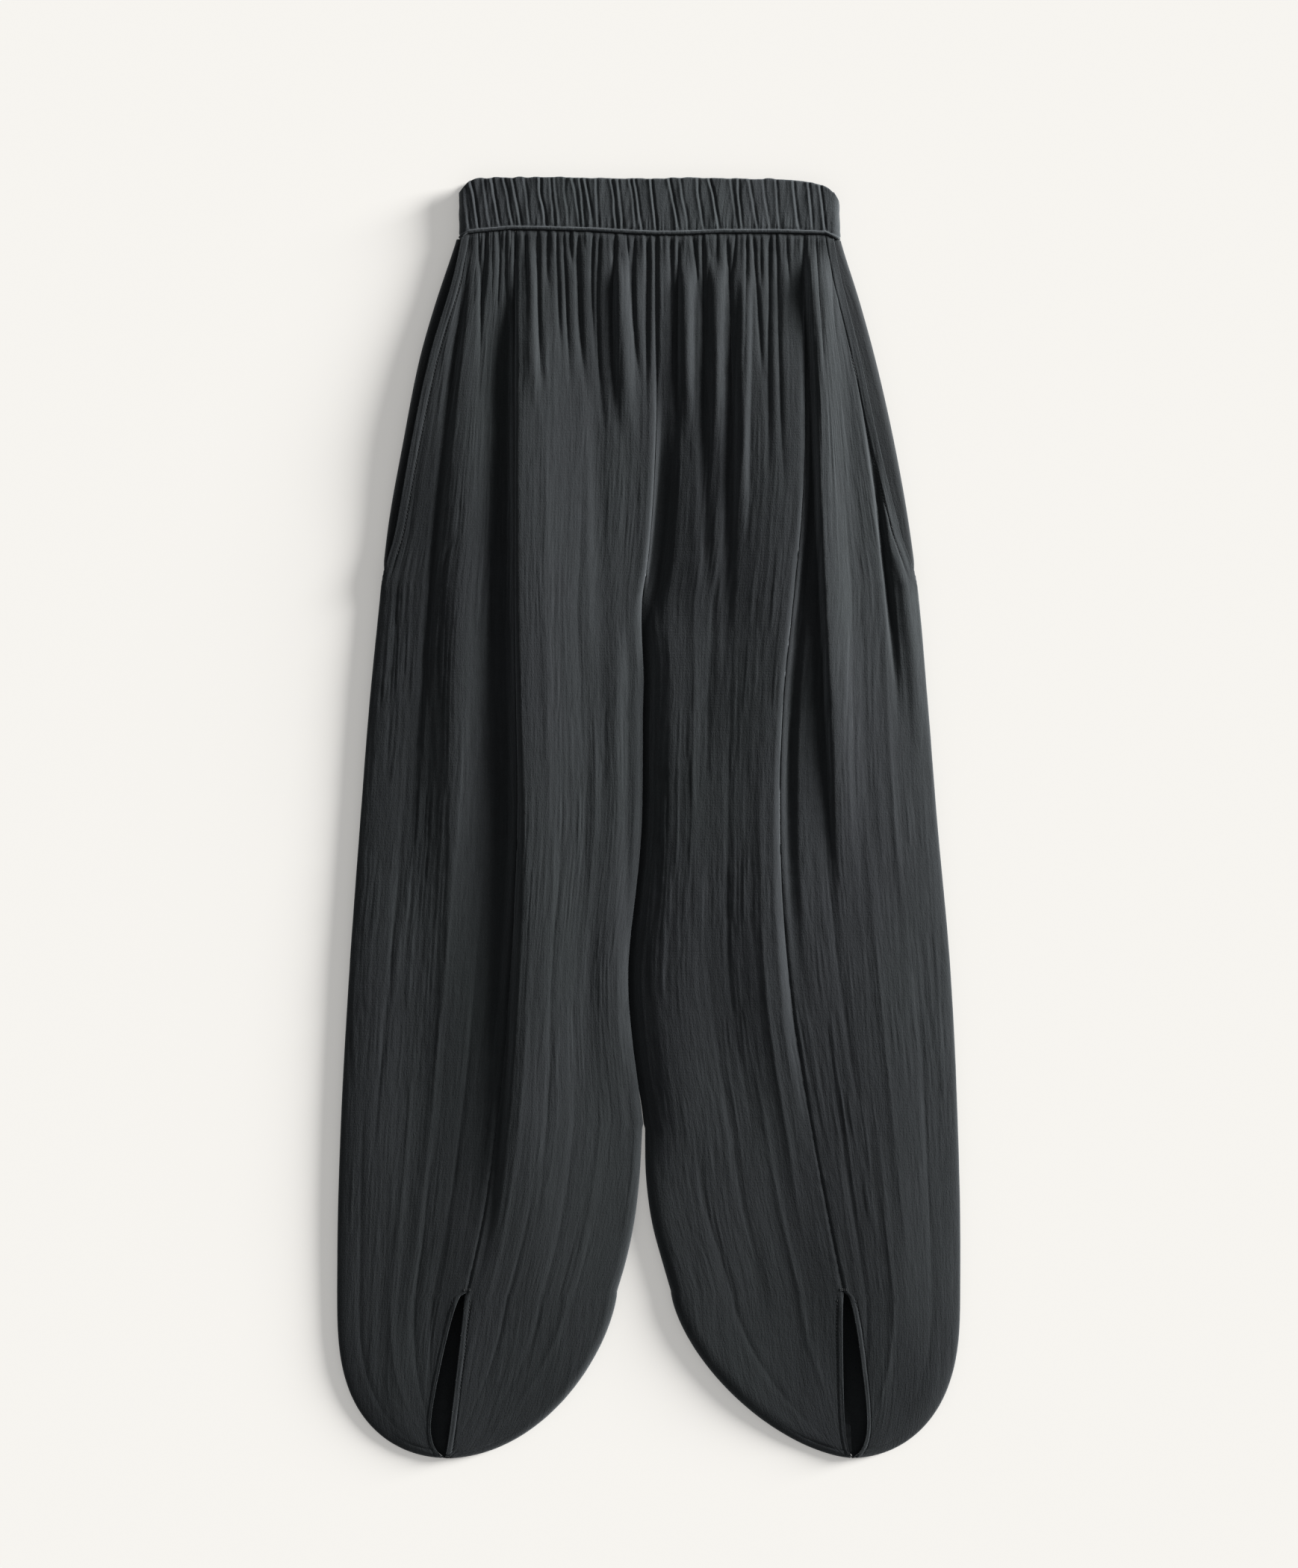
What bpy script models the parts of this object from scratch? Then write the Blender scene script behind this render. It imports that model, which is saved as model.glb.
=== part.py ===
"""Balloon trousers in crinkled double gauze, laid flat on a surface with the front up.

Metres, +Z up, the waist towards +Y and the front facing +Z. The tables below are in millimetres, measured
from the middle of the garment's outline. "left" is towards -X and "right" towards +X. Each leg is a
flattened tube: two front panels that roll over at its edges, and a flat back panel that lies on the surface.
"""

import math

import bmesh
import bpy
import numpy as np

MM = 0.001

WALL = 1.4              # two layers of crinkled gauze
SEAM_GAP = 0.3          # between any two pieces
MOUTH_GAP = 1.0         # between the pocket's mouth and the facing under it
BAND_WALL = 2.8         # gauze folded over a flat elastic
BAG_WALL = 1.6          # the pocket bag's two thin layers, pressed together
BAND_TOP = 520.0
BAND_BOTTOM = 473.0
BAND_LEFT = -153.5
BAND_RIGHT = 155.0
BAND_LIP = 3.0          # height of the raised lip along the band's lower edge
BAND_LIP_RISE = 0.9
CROTCH = 197.0
SLIT_TOP = -384.0
TIP = -520.0
POCKET_END = 208.0      # where the facing ends and the side panel wraps the side itself
TUCK = 3.0              # how far a rolled edge runs back under the leg to its seam
BACK_SLIT = 28.0        # the slit goes on this far under the tip, up the back panel
BACK_SLIT_WIDTH = 5.0
FACING_LAP = 13.0       # how far the facing reaches under the side panel
EDGE_BLEND = 14.0       # the folds grow to their full height this far from a rolled edge
BAG_TOP = 430.0
BAG_LOW = 196.0
BAG_REACH = 66.0        # from the mouth's lower end to the bag's inner edge
BAG_CORNER = 28.0
BAG_STEP = 12.0         # the bag's lower outer corner is cut off by this much
BAG_STATIONS = (BAG_TOP, 380.0, 310.0, 240.0)
CLOTH_LEVEL = 10.4      # height of the front's middle surface where it meets the band
LOWEST_FRONT = 2.8      # the front's middle surface stays this high, just clear of the back panel
SOFT_FLOOR = 2.0        # and troughs level out over this much height above that
WRAP_LENGTH = 16.0      # an edge goes from flat to rolled over within this length
FULL_TUCK_ROW = 30.0    # the tuck gets shorter in rows that are shorter than this
ROLL_SHARE = 0.25       # the most of a row's length that the roll's radius takes
EDGE_LEAST = 7.0        # the edge's part of a row is at least this long,
EDGE_SHARE = 0.3        # or this share of a short row

LINE_POINTS = 90        # points along a row before it is divided into the panel's steps
ROLL_POINTS = 24
SEAM_CROWDING = 1.25    # the steps get closer together towards the seam
ARC_STEPS = 4
SIDE_STEPS = 9
CENTRE_STEPS = 9
FACING_STEPS = 3
STEEP_SEAM = 1.6        # the most that a seam's upright rim grows on a steep slope
LEG_ROWS = 12
FAN_ROWS = 8
BAND_FRONT_STEPS = 24
BAND_BACK_STEPS = 10
BAND_END_STEPS = 5
BAG_CORNER_STEPS = 5

# The outline and the seams, a row for each station down the garment.
STATION_COLUMNS = (
    "y", "outer_left", "mouth_left", "seam_left", "centre", "seam_right", "mouth_right", "outer_right",
)
STATIONS = (
    (472.7, -156, -152, -108, 6, 126, 150, 156),
    (434.0, -168, -160, -108, 6, 126, 157, 167),
    (380.0, -184, -176, -108, 6, 126, 170, 182),
    (301.0, -200, -193, -108, 6, 126, 187, 200),
    (240.0, -211, -204, -108, 5, 123, 202, 211),
    (179.0, -218, -216, -108, 4, 117, 217, 219),
    (100.0, -226, -225, -107, 3, 109, 226, 226),
    (0.0, -234, -233, -106, 3, 106, 233, 234),
    (-124.0, -243, -242, -112, -9, 113, 244, 245),
    (-250.0, -250, -249, -123, -4, 132, 250, 251),
    (-330.0, -252.5, -251, -135, -4, 147, 251, 253),
    (-384.0, -253, -252, -147, -4, 158, 252, 253),
)

# The radius of the rolled edges, and the height of the cloth's general level between the folds.
LEVEL_COLUMNS = ("y", "roll_outer", "roll_inner_left", "roll_inner_right", "level")
LEVELS = (
    (472.7, 3.5, 3.5, 3.5, 10.4),
    (380.0, 4.6, 4.5, 3.5, 13.5),
    (240.0, 5.6, 5.0, 3.5, 15.5),
    (60.0, 5.6, 5.5, 3.8, 14.5),
    (-180.0, 4.8, 4.5, 4.0, 12.5),
    (-384.0, 3.6, 3.4, 3.4, 10.5),
    (-470.0, 2.4, 2.4, 2.4, 8.5),
    (-520.0, 1.2, 1.2, 1.2, 5.0),
)

# The inner edges of the lower legs, from the place where the legs part down to the top of the slits.
INNER_COLUMNS = ("y", "inner_left", "inner_right")
INNER_EDGES = (
    (-250.0, -5, -3),
    (-294.0, -7.5, -2),
    (-330.0, -12, 3),
    (-360.0, -18.5, 11),
    (-384.0, -25.5, 18),
)

# The slits and the round leg ends. The reach is from the tip to the leg's edge, level with the slit's top.
SLIT_COLUMNS = ("leg", "top_x", "tip_x", "outer_bow", "inner_bow", "outer_power", "inner_power")
SLITS = (
    ("left", -148.6, -165.0, 18.5, 1.0, 3.0, 2.0),
    ("right", 158.6, 165.4, 16.0, 6.0, 2.8, 1.6),
)

# The largest folds. Each runs from y_top to y_low through three places across, and its height may be
# below zero, for a trough. The widths are its reach to each side, and the fades how soon it rises and dies.
FOLD_COLUMNS = (
    "name", "y_top", "y_low", "x_top", "x_middle", "x_low", "left", "right", "height", "fade_top", "fade_low",
)
FOLDS = (
    ("side trough", 430, 60, -158, -173, -187, 12, 12, -6, 60, 120),
    ("side plateau", 470, -140, -138, -146, -176, 26, 28, 7, 110, 200),
    ("side valley", 440, -330, -120, -119, -126, 16, 12, -11, 90, 260),
    ("left seam crest", 466, -300, -106, -103, -104, 9, 92, 14, 110, 260),
    ("left inner ridge", 460, 300, -17, -12, -9, 12, 12, 4, 30, 80),
    ("left turn-down", 170, -250, -16, -18, -18, 26, 12, 3, 60, 120),
    ("centre valley", 400, -260, 14, 7, -5, 24, 26, -10, 190, 60),
    ("right centre ridge", 455, 250, 34, 36, 37, 10, 10, 3, 40, 90),
    ("right seam crest", 455, -240, 120, 112, 116, 92, 9, 11, 110, 200),
    ("right seam valley", 440, -100, 131, 130, 128, 8, 18, -11, 90, 160),
    ("right side ridge", 466, -210, 141, 154, 184, 13, 40, 9, 80, 220),
    ("right side trough", 440, 0, 161, 190, 214, 9, 9, -8, 60, 120),
    ("left calf ridge", -60, -430, -62, -70, -92, 40, 40, 3, 120, 120),
    ("right calf ridge", -60, -430, 62, 70, 96, 40, 40, 3, 120, 120),
)

# Creases in the waistband's front wall, as places across its lower edge, each with its reach and height.
BAND_CREASE_COLUMNS = ("x", "reach", "height")
BAND_LEAN = -9.0        # how far a crease's top end lies to the left of its lower end
BAND_CREASES = (
    (-131, 9, 0.8), (-104, 9, 1.0), (-79, 8, 0.7), (-52, 10, 1.0), (-24, 9, 0.8), (2, 9, 1.0),
    (30, 8, 0.8), (56, 10, 1.0), (82, 8, 0.7), (108, 9, 1.0), (131, 9, 0.8),
)

CLOTH_COLOUR = (0.058, 0.066, 0.071, 1.0)
FACING_COLOUR = (0.046, 0.052, 0.056, 1.0)
BAG_COLOUR = (0.05, 0.056, 0.06, 1.0)
CLOTH_ROUGHNESS = 0.95


def clear_scene():
    for obj in list(bpy.data.objects):
        bpy.data.objects.remove(obj, do_unlink=True)


def column(rows, columns, name):
    return np.array([row[columns.index(name)] for row in rows], float)


def smooth(low, high, value):
    t = np.clip((value - low) / (high - low), 0, 1)
    return t * t * (3 - 2 * t)


def through(y, ys, values):
    """A smooth curve through the table's values, read at y. The stations run down the garment."""
    ys = ys[::-1]
    values = values[::-1]
    slopes = np.gradient(values, ys)
    y = np.clip(y, ys[0], ys[-1])
    k = np.clip(np.searchsorted(ys, y) - 1, 0, len(ys) - 2)
    step = ys[k + 1] - ys[k]
    t = (y - ys[k]) / step
    bend = (2 * t**3 - 3 * t**2 + 1) * values[k] + (3 * t**2 - 2 * t**3) * values[k + 1]
    return bend + step * ((t**3 - 2 * t**2 + t) * slopes[k] + (t**3 - t**2) * slopes[k + 1])


def station(y, name):
    return through(y, column(STATIONS, STATION_COLUMNS, "y"), column(STATIONS, STATION_COLUMNS, name))


def level_of(y, name):
    return through(y, column(LEVELS, LEVEL_COLUMNS, "y"), column(LEVELS, LEVEL_COLUMNS, name))


def roll_of(y, leg, which):
    """The radius of a rolled edge, to the middle of its wall."""
    name = "roll_outer" if which == "outer" else "roll_inner_" + leg
    return float(level_of(np.array(y), name))


def inner_edge(y, leg):
    """Where the legs touch, each keeps half of the gap; below that the table's edges part."""
    touching = station(y, "centre") + (0.5 * SEAM_GAP if leg == "right" else -0.5 * SEAM_GAP)
    ys = column(INNER_EDGES, INNER_COLUMNS, "y")
    parted = through(y, ys, column(INNER_EDGES, INNER_COLUMNS, "inner_" + leg))
    return np.where(y > ys[0], touching, parted)


def rows_down():
    """The stations of the panels' rows above the slits: close where an edge changes, wide elsewhere."""
    upper = (BAND_BOTTOM - 1.5 * SEAM_GAP, 454, 430, 400, 362, 320, 275, 236)
    changes = (POCKET_END + 4, POCKET_END - 6, CROTCH - 1, CROTCH - 8, 160)
    legs = np.linspace(120, SLIT_TOP, LEG_ROWS)
    return np.concatenate([upper, changes, legs])


def slit_of(leg):
    return next(dict(zip(SLIT_COLUMNS, row)) for row in SLITS if row[0] == leg)


def bow(t):
    """The slit's opening along its length: it widens to the lower half and closes at the tip."""
    return t**0.42 * np.sqrt(1 - t**8)


def fan_points(leg, which):
    """Outline point and slit point of each row below the slit's top, spread round the leg's end like a fan."""
    slit = slit_of(leg)
    outward = -1 if leg == "left" else 1
    turn = np.append(np.linspace(0, 80, FAN_ROWS)[1:], 87.5) * math.pi / 180
    along = np.append(np.linspace(0, 0.93, FAN_ROWS)[1:], 0.985)
    power = slit[which + "_power"]
    if which == "outer":
        edge_x = station(SLIT_TOP, "outer_" + leg)
        side = 1
        drop_power = power
        reach_power = 2.0
    else:
        edge_x = inner_edge(SLIT_TOP, leg)
        side = -1
        drop_power = 1.5
        reach_power = power
    reach = abs(edge_x - slit["tip_x"])
    outline_x = slit["tip_x"] + outward * side * reach * np.cos(turn) ** (2 / reach_power)
    outline_y = SLIT_TOP + (TIP - SLIT_TOP) * np.sin(turn) ** (2 / drop_power)
    middle_x = slit["top_x"] + (slit["tip_x"] - slit["top_x"]) * along
    slit_x = middle_x + outward * side * np.maximum(slit[which + "_bow"] * bow(along), SEAM_GAP)
    slit_y = SLIT_TOP + (TIP - SLIT_TOP) * along
    return np.stack([outline_x, outline_y], 1), np.stack([slit_x, slit_y], 1)


def rails(leg, which):
    """The outline's and the seam's points of a panel's rows, from the band down to the tip."""
    outward = -1 if leg == "left" else 1
    y = rows_down()
    seam = station(y, "seam_" + leg)
    if which == "outer":
        edge = np.where(y >= POCKET_END, station(y, "mouth_" + leg), station(y, "outer_" + leg))
        seam = seam + outward * 0.5 * SEAM_GAP
    else:
        edge = inner_edge(y, leg)
        seam = seam - outward * 0.5 * SEAM_GAP
    fan_edge, fan_seam = fan_points(leg, which)
    edge = np.concatenate([np.stack([edge, y], 1), fan_edge])
    seam = np.concatenate([np.stack([seam, y], 1), fan_seam])
    return edge, seam


def fold_height(x, y):
    total = np.zeros_like(x)
    for row in FOLDS:
        fold = dict(zip(FOLD_COLUMNS, row))
        t = (fold["y_top"] - y) / (fold["y_top"] - fold["y_low"])
        track = fold["x_top"] * (1 - t) * (1 - 2 * t)
        track = track + fold["x_middle"] * 4 * t * (1 - t)
        track = track - fold["x_low"] * t * (1 - 2 * t)
        away = x - track
        reach = np.where(away < 0, fold["left"], fold["right"])
        across = np.clip(1 - (away / reach) ** 2, 0, 1) ** 2
        rise = smooth(fold["y_top"], fold["y_top"] - fold["fade_top"], y)
        fall = smooth(fold["y_low"], fold["y_low"] + fold["fade_low"], y)
        total += fold["height"] * across * rise * fall
    return total


def cloth_height(x, y):
    """The middle surface of the front between its edges, never lower than just above the back panel."""
    height = level_of(y, "level") + fold_height(x, y)
    knee = LOWEST_FRONT + SOFT_FLOOR
    below = np.minimum(height - knee, 0)
    return np.where(height < knee, LOWEST_FRONT + SOFT_FLOOR * np.exp(below / SOFT_FLOOR), height)


def tuck_of(length):
    """The tuck under a rolled edge gets shorter in the narrow rows at the tip."""
    return TUCK * min(1.0, length / FULL_TUCK_ROW)


def wrap_angle(y, where):
    """How far an edge rolls over: none along a seam or the pocket's mouth, all the way round elsewhere."""
    start = POCKET_END if where == "outer" else CROTCH + 5
    return math.pi * float(smooth(start, start - WRAP_LENGTH, np.array(y)))


def edge_path(edge, seam, angle, roll, free_height, lap):
    """One row of a panel as a closely spaced line: the tuck and the roll at its edge, then the way to the seam.

    It returns the line's points and the length of the part that belongs to the edge.
    """
    across = seam - edge
    length = float(np.hypot(*across))
    across = across / length
    roll = min(roll, ROLL_SHARE * length)
    tuck = tuck_of(length) * float(smooth(0.85 * math.pi, math.pi, np.array(angle)))
    inset = (roll + 0.5 * WALL) * math.sin(min(angle, 0.5 * math.pi)) + (0.5 * SEAM_GAP if angle == 0 else 0)
    top = 0.5 * WALL + 2 * roll
    edge_level = top if angle > 0 else free_height
    points = []
    if tuck > 0:
        points.append((inset + tuck, 0.5 * WALL))
    for k in range(ROLL_POINTS + 1):
        if angle > 0:
            turn = angle * (1 - k / ROLL_POINTS)
            points.append((inset - roll * math.sin(turn), top - roll + roll * math.cos(turn)))
    s = np.linspace(inset, length, LINE_POINTS)[1 if angle > 0 else 0 :]
    x = edge[0] + across[0] * s
    y = edge[1] + across[1] * s
    above = cloth_height(x, y) - edge_level
    rise = np.maximum(above, 0) * smooth(0, min(EDGE_BLEND, 0.8 * length), s - inset)
    dip = np.minimum(above, 0) * smooth(lap, lap + min(EDGE_BLEND, 0.8 * length), s - inset)
    z = edge_level + rise + dip
    s = np.concatenate([[p[0] for p in points], s])
    z = np.concatenate([[p[1] for p in points], z])
    line = np.stack([edge[0] + across[0] * s, edge[1] + across[1] * s, z], 1)
    bend = roll * angle + tuck
    return line, max(bend, min(EDGE_LEAST, EDGE_SHARE * length))


def resample(line, edge_length, steps):
    """ARC_STEPS along the edge's part, then the panel's own steps, closer together towards the seam."""
    lengths = np.concatenate([[0], np.cumsum(np.linalg.norm(np.diff(line, axis=0), axis=1))])
    rest = np.linspace(0, 1, steps + 1)
    rest = 1 - (1 - rest) ** SEAM_CROWDING
    places = np.concatenate(
        [np.linspace(0, edge_length, ARC_STEPS + 1)[:-1], edge_length + (lengths[-1] - edge_length) * rest]
    )
    return np.stack([np.interp(places, lengths, line[:, k]) for k in range(3)], 1)


def panel_grid(leg, which, steps):
    edges, seams = rails(leg, which)
    grid = []
    for edge, seam in zip(edges, seams):
        y = float(edge[1])
        roll = roll_of(y, leg, which)
        angle = wrap_angle(y, which)
        if which == "outer":
            free_height = 1.5 * WALL + 2 * roll + MOUTH_GAP
            lap = (FACING_LAP + 3) * float(smooth(CROTCH - 60, CROTCH, np.array(y)))
        else:
            free_height = float(cloth_height(edge[:1], edge[1:])[0])
            lap = 0.0
        line, edge_length = edge_path(edge, seam, angle, roll, free_height, lap)
        grid.append(resample(line, edge_length, steps))
    return np.array(grid)


def facing_grid(leg):
    """The strip beside the pocket: from under the mouth, out to the side and round it to the back panel."""
    y = rows_down()
    y = y[y >= POCKET_END + 4]
    y = np.append(y, POCKET_END + 3.5)
    grid = []
    for yk in y:
        outer = float(station(yk, "outer_" + leg))
        mouth = float(station(yk, "mouth_" + leg))
        inward = 1 if leg == "left" else -1
        roll = roll_of(yk, leg, "outer")
        inset = roll + 0.5 * WALL
        points = [(inset + TUCK, 0.5 * WALL)]
        for k in range(ARC_STEPS + 1):
            turn = math.pi * (1 - k / ARC_STEPS)
            points.append((inset - roll * math.sin(turn), 0.5 * WALL + roll + roll * math.cos(turn)))
        inner = abs(mouth - outer) + FACING_LAP
        for k in range(1, FACING_STEPS + 1):
            points.append((inset + (inner - inset) * k / FACING_STEPS, 0.5 * WALL + 2 * roll))
        grid.append([(outer + inward * s, yk, z) for s, z in points])
    return np.array(grid)


def grid_normals(grid):
    down = np.gradient(grid, axis=0)
    across = np.gradient(grid, axis=1)
    normals = np.cross(down, across)
    lengths = np.linalg.norm(normals, axis=2, keepdims=True)
    return normals / np.maximum(lengths, 1e-9)


def sheet_mesh(name, grid, wall, colour=CLOTH_COLOUR):
    """A cloth wall: the grid moved half the wall to each side along its normals, and closed at its rims.

    Its last column is a seam or a slit's edge, where the rim stands upright and so keeps the seam's gap.
    """
    normals = grid_normals(grid)
    middle_row = grid.shape[0] // 2
    if normals[middle_row, -2, 2] < 0:
        normals = -normals
    seam_slant = np.abs(normals[:, -1, 2])
    normals[:, -1] = 0
    normals[:, -1, 2] = np.clip(1 / np.maximum(seam_slant, 1e-6), 1, STEEP_SEAM)
    rows, columns = grid.shape[:2]
    mesh = bmesh.new()
    upper = [[mesh.verts.new(p * MM) for p in row] for row in grid + 0.5 * wall * normals]
    lower = [[mesh.verts.new(p * MM) for p in row] for row in grid - 0.5 * wall * normals]
    for i in range(rows - 1):
        for j in range(columns - 1):
            mesh.faces.new((upper[i][j], upper[i + 1][j], upper[i + 1][j + 1], upper[i][j + 1]))
            mesh.faces.new((lower[i][j], lower[i][j + 1], lower[i + 1][j + 1], lower[i + 1][j]))
    rim = [(0, j) for j in range(columns)]
    rim += [(i, columns - 1) for i in range(1, rows)]
    rim += [(rows - 1, j) for j in range(columns - 2, -1, -1)]
    rim += [(i, 0) for i in range(rows - 2, 0, -1)]
    for (i, j), (p, q) in zip(rim, rim[1:] + rim[:1]):
        mesh.faces.new((upper[i][j], upper[p][q], lower[p][q], lower[i][j]))
    bmesh.ops.recalc_face_normals(mesh, faces=mesh.faces)
    return add_object(name, mesh, colour)


def add_object(name, mesh, colour=CLOTH_COLOUR):
    data = bpy.data.meshes.new(name)
    mesh.to_mesh(data)
    mesh.free()
    data.shade_smooth()
    obj = bpy.data.objects.new(name, data)
    bpy.context.scene.collection.objects.link(obj)
    data.materials.append(cloth_material(name + "_cloth", colour))
    return obj


def cloth_material(name, colour):
    material = bpy.data.materials.new(name)
    material.use_nodes = True
    shader = material.node_tree.nodes["Principled BSDF"]
    shader.inputs["Base Color"].default_value = colour
    shader.inputs["Roughness"].default_value = CLOTH_ROUGHNESS
    shader.inputs["Metallic"].default_value = 0.0
    return material


def plate(name, outline, low, high, colour=CLOTH_COLOUR):
    """A flat piece of cloth with the given outline, between two heights."""
    mesh = bmesh.new()
    corners = [mesh.verts.new((x * MM, y * MM, low * MM)) for x, y in outline]
    face = mesh.faces.new(corners)
    raised = bmesh.ops.extrude_face_region(mesh, geom=[face])
    moved = [v for v in raised["geom"] if isinstance(v, bmesh.types.BMVert)]
    bmesh.ops.translate(mesh, verts=moved, vec=(0, 0, (high - low) * MM))
    bmesh.ops.recalc_face_normals(mesh, faces=mesh.faces)
    return add_object(name, mesh, colour)


def inset_points(leg, which, edges, seams, y_limit):
    """Where a leg's rolled edge ends under the leg: the back panel's outline keeps a gap to it."""
    points = []
    for edge, seam in zip(edges, seams):
        if edge[1] > y_limit:
            continue
        across = seam - edge
        length = float(np.hypot(*across))
        roll = min(roll_of(edge[1], leg, which), ROLL_SHARE * length)
        points.append(edge + across / length * (roll + 0.5 * WALL + tuck_of(length) + 1.5 * SEAM_GAP))
    return points


def back_outline(leg):
    """The back panel lies inside the rolled edges, and meets its twin along the centre back."""
    outward = -1 if leg == "left" else 1
    outer, outer_seam = rails(leg, "outer")
    outer[:, 0] = np.where(outer[:, 1] >= POCKET_END, station(outer[:, 1], "outer_" + leg), outer[:, 0])
    inner, inner_seam = rails(leg, "inner")
    slit = slit_of(leg)
    outside = inset_points(leg, "outer", outer, outer_seam, BAND_BOTTOM)
    inside = inset_points(leg, "inner", inner, inner_seam, CROTCH)
    slit_end = TIP + BACK_SLIT
    lean = (slit["top_x"] - slit["tip_x"]) / (SLIT_TOP - TIP)
    half = outward * 0.5 * BACK_SLIT_WIDTH
    notch = [
        (outside[-1][0] - half, outside[-1][1] + 2.5),
        (slit["tip_x"] + lean * BACK_SLIT + half, slit_end - 2),
        (slit["tip_x"] + lean * BACK_SLIT, slit_end),
        (slit["tip_x"] + lean * BACK_SLIT - half, slit_end - 2),
        (inside[-1][0] + half, inside[-1][1] + 2.5),
    ]
    heights = (CROTCH + 7, 260, 340, BAND_BOTTOM - SEAM_GAP)
    centre = [(float(station(np.array(y), "centre")) + outward * 0.5 * SEAM_GAP, y) for y in heights]
    return [tuple(p) for p in outside[:-1]] + notch + [tuple(p) for p in inside[-2::-1]] + centre


def bag_outline(leg):
    """A pocket bag: along the facing's inner edge, across below, and round at its lower inner corner."""
    outward = -1 if leg == "left" else 1
    lap = outward * (FACING_LAP + SEAM_GAP)
    side = [(float(station(np.array(y), "mouth_" + leg)) - lap, y) for y in BAG_STATIONS]
    low_x = side[-1][0]
    inner_x = low_x + lap - outward * BAG_REACH
    centre_x = inner_x + outward * BAG_CORNER
    centre_y = BAG_LOW + BAG_CORNER
    outline = side + [(low_x, BAG_LOW + BAG_STEP), (low_x - outward * BAG_STEP, BAG_LOW)]
    for k in range(BAG_CORNER_STEPS + 1):
        turn = 0.5 * math.pi * k / BAG_CORNER_STEPS
        x = centre_x - outward * BAG_CORNER * math.sin(turn)
        outline.append((x, centre_y - BAG_CORNER * math.cos(turn)))
    return outline + [(inner_x, BAG_TOP)]


def band_section(y):
    """The waistband's flattened ring at one height: front wall, left end, back wall, right end."""
    radius = 0.5 * (CLOTH_LEVEL - 0.5 * BAND_WALL)
    middle = 0.5 * (CLOTH_LEVEL + 0.5 * BAND_WALL)
    left = BAND_LEFT + radius + 0.5 * BAND_WALL
    right = BAND_RIGHT - radius - 0.5 * BAND_WALL
    t = (y - BAND_BOTTOM) / (BAND_TOP - BAND_BOTTOM)
    points = []
    for k in range(BAND_FRONT_STEPS + 1):
        x = right + (left - right) * k / BAND_FRONT_STEPS
        rise = 0.0
        for place, reach, height in BAND_CREASES:
            away = (x - place - BAND_LEAN * t) / reach
            rise += height * max(0.0, 1 - away * away) ** 2
        points.append((x, middle + radius + rise * math.sin(math.pi * min(1.0, 0.15 + 0.85 * t))))
    for k in range(1, BAND_END_STEPS):
        turn = math.pi * k / BAND_END_STEPS
        points.append((left - radius * math.sin(turn), middle + radius * math.cos(turn)))
    for k in range(BAND_BACK_STEPS + 1):
        points.append((left + (right - left) * k / BAND_BACK_STEPS, middle - radius))
    for k in range(1, BAND_END_STEPS):
        turn = math.pi * k / BAND_END_STEPS
        points.append((right + radius * math.sin(turn), middle - radius * math.cos(turn)))
    return np.array(points)


def build_waistband():
    """A ring of folded cloth. Its lower edge carries the raised, edge-stitched lip on the outside."""
    heights = (BAND_BOTTOM, BAND_BOTTOM + BAND_LIP, BAND_BOTTOM + BAND_LIP + 0.6, 490.0, 508.0, BAND_TOP)
    mesh = bmesh.new()
    outer_rings = []
    inner_rings = []
    for y in heights:
        section = band_section(y)
        ahead = np.roll(section, -1, axis=0) - np.roll(section, 1, axis=0)
        normal = np.stack([ahead[:, 1], -ahead[:, 0]], 1)
        normal /= np.linalg.norm(normal, axis=1, keepdims=True)
        if normal[0, 1] < 0:
            normal = -normal
        half = 0.5 * BAND_WALL - (0.5 if y == BAND_TOP else 0.0)
        lip = BAND_LIP_RISE if y <= BAND_BOTTOM + BAND_LIP else 0.0
        rise = np.where(section[:, 1] > CLOTH_LEVEL - 0.5, lip, 0.0)
        outside = section + normal * (half + rise)[:, None]
        inside = section - normal * half
        outer_rings.append([mesh.verts.new((x * MM, y * MM, z * MM)) for x, z in outside])
        inner_rings.append([mesh.verts.new((x * MM, y * MM, z * MM)) for x, z in inside])
    count = len(outer_rings[0])
    for rings in (outer_rings, inner_rings):
        for low, high in zip(rings, rings[1:]):
            for k in range(count):
                following = (k + 1) % count
                mesh.faces.new((low[k], low[following], high[following], high[k]))
    for level in (0, -1):
        for k in range(count):
            following = (k + 1) % count
            mesh.faces.new(
                (
                    outer_rings[level][k],
                    outer_rings[level][following],
                    inner_rings[level][following],
                    inner_rings[level][k],
                )
            )
    bmesh.ops.recalc_face_normals(mesh, faces=mesh.faces)
    add_object("waistband", mesh)


def build_legs():
    for leg in ("left", "right"):
        sheet_mesh("front_side_" + leg, panel_grid(leg, "outer", SIDE_STEPS), WALL)
        sheet_mesh("front_centre_" + leg, panel_grid(leg, "inner", CENTRE_STEPS), WALL)
        plate("back_" + leg, back_outline(leg), 0.0, WALL)


def build_pockets():
    bag_low = WALL + SEAM_GAP
    for leg in ("left", "right"):
        sheet_mesh("pocket_facing_" + leg, facing_grid(leg), WALL, FACING_COLOUR)
        plate("pocket_bag_" + leg, bag_outline(leg), bag_low, bag_low + BAG_WALL, BAG_COLOUR)


def main():
    clear_scene()
    build_waistband()
    build_legs()
    build_pockets()


main()
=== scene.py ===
"""Balloon trousers in crinkled double gauze, laid flat on a pale surface with the front up.

Every cloth piece is a thin shell on the form of its CAD solid. The large folds and the gathers come from
the tables below, which are in millimetres from the middle of the outline, with the waist towards +Y and the
front facing +Z. "left" is towards -X. The finest crinkle is seeded noise that follows the legs' length.
"""

import math

import bpy
import numpy as np
from mathutils import Euler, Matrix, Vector
from mathutils.geometry import delaunay_2d_cdt


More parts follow.
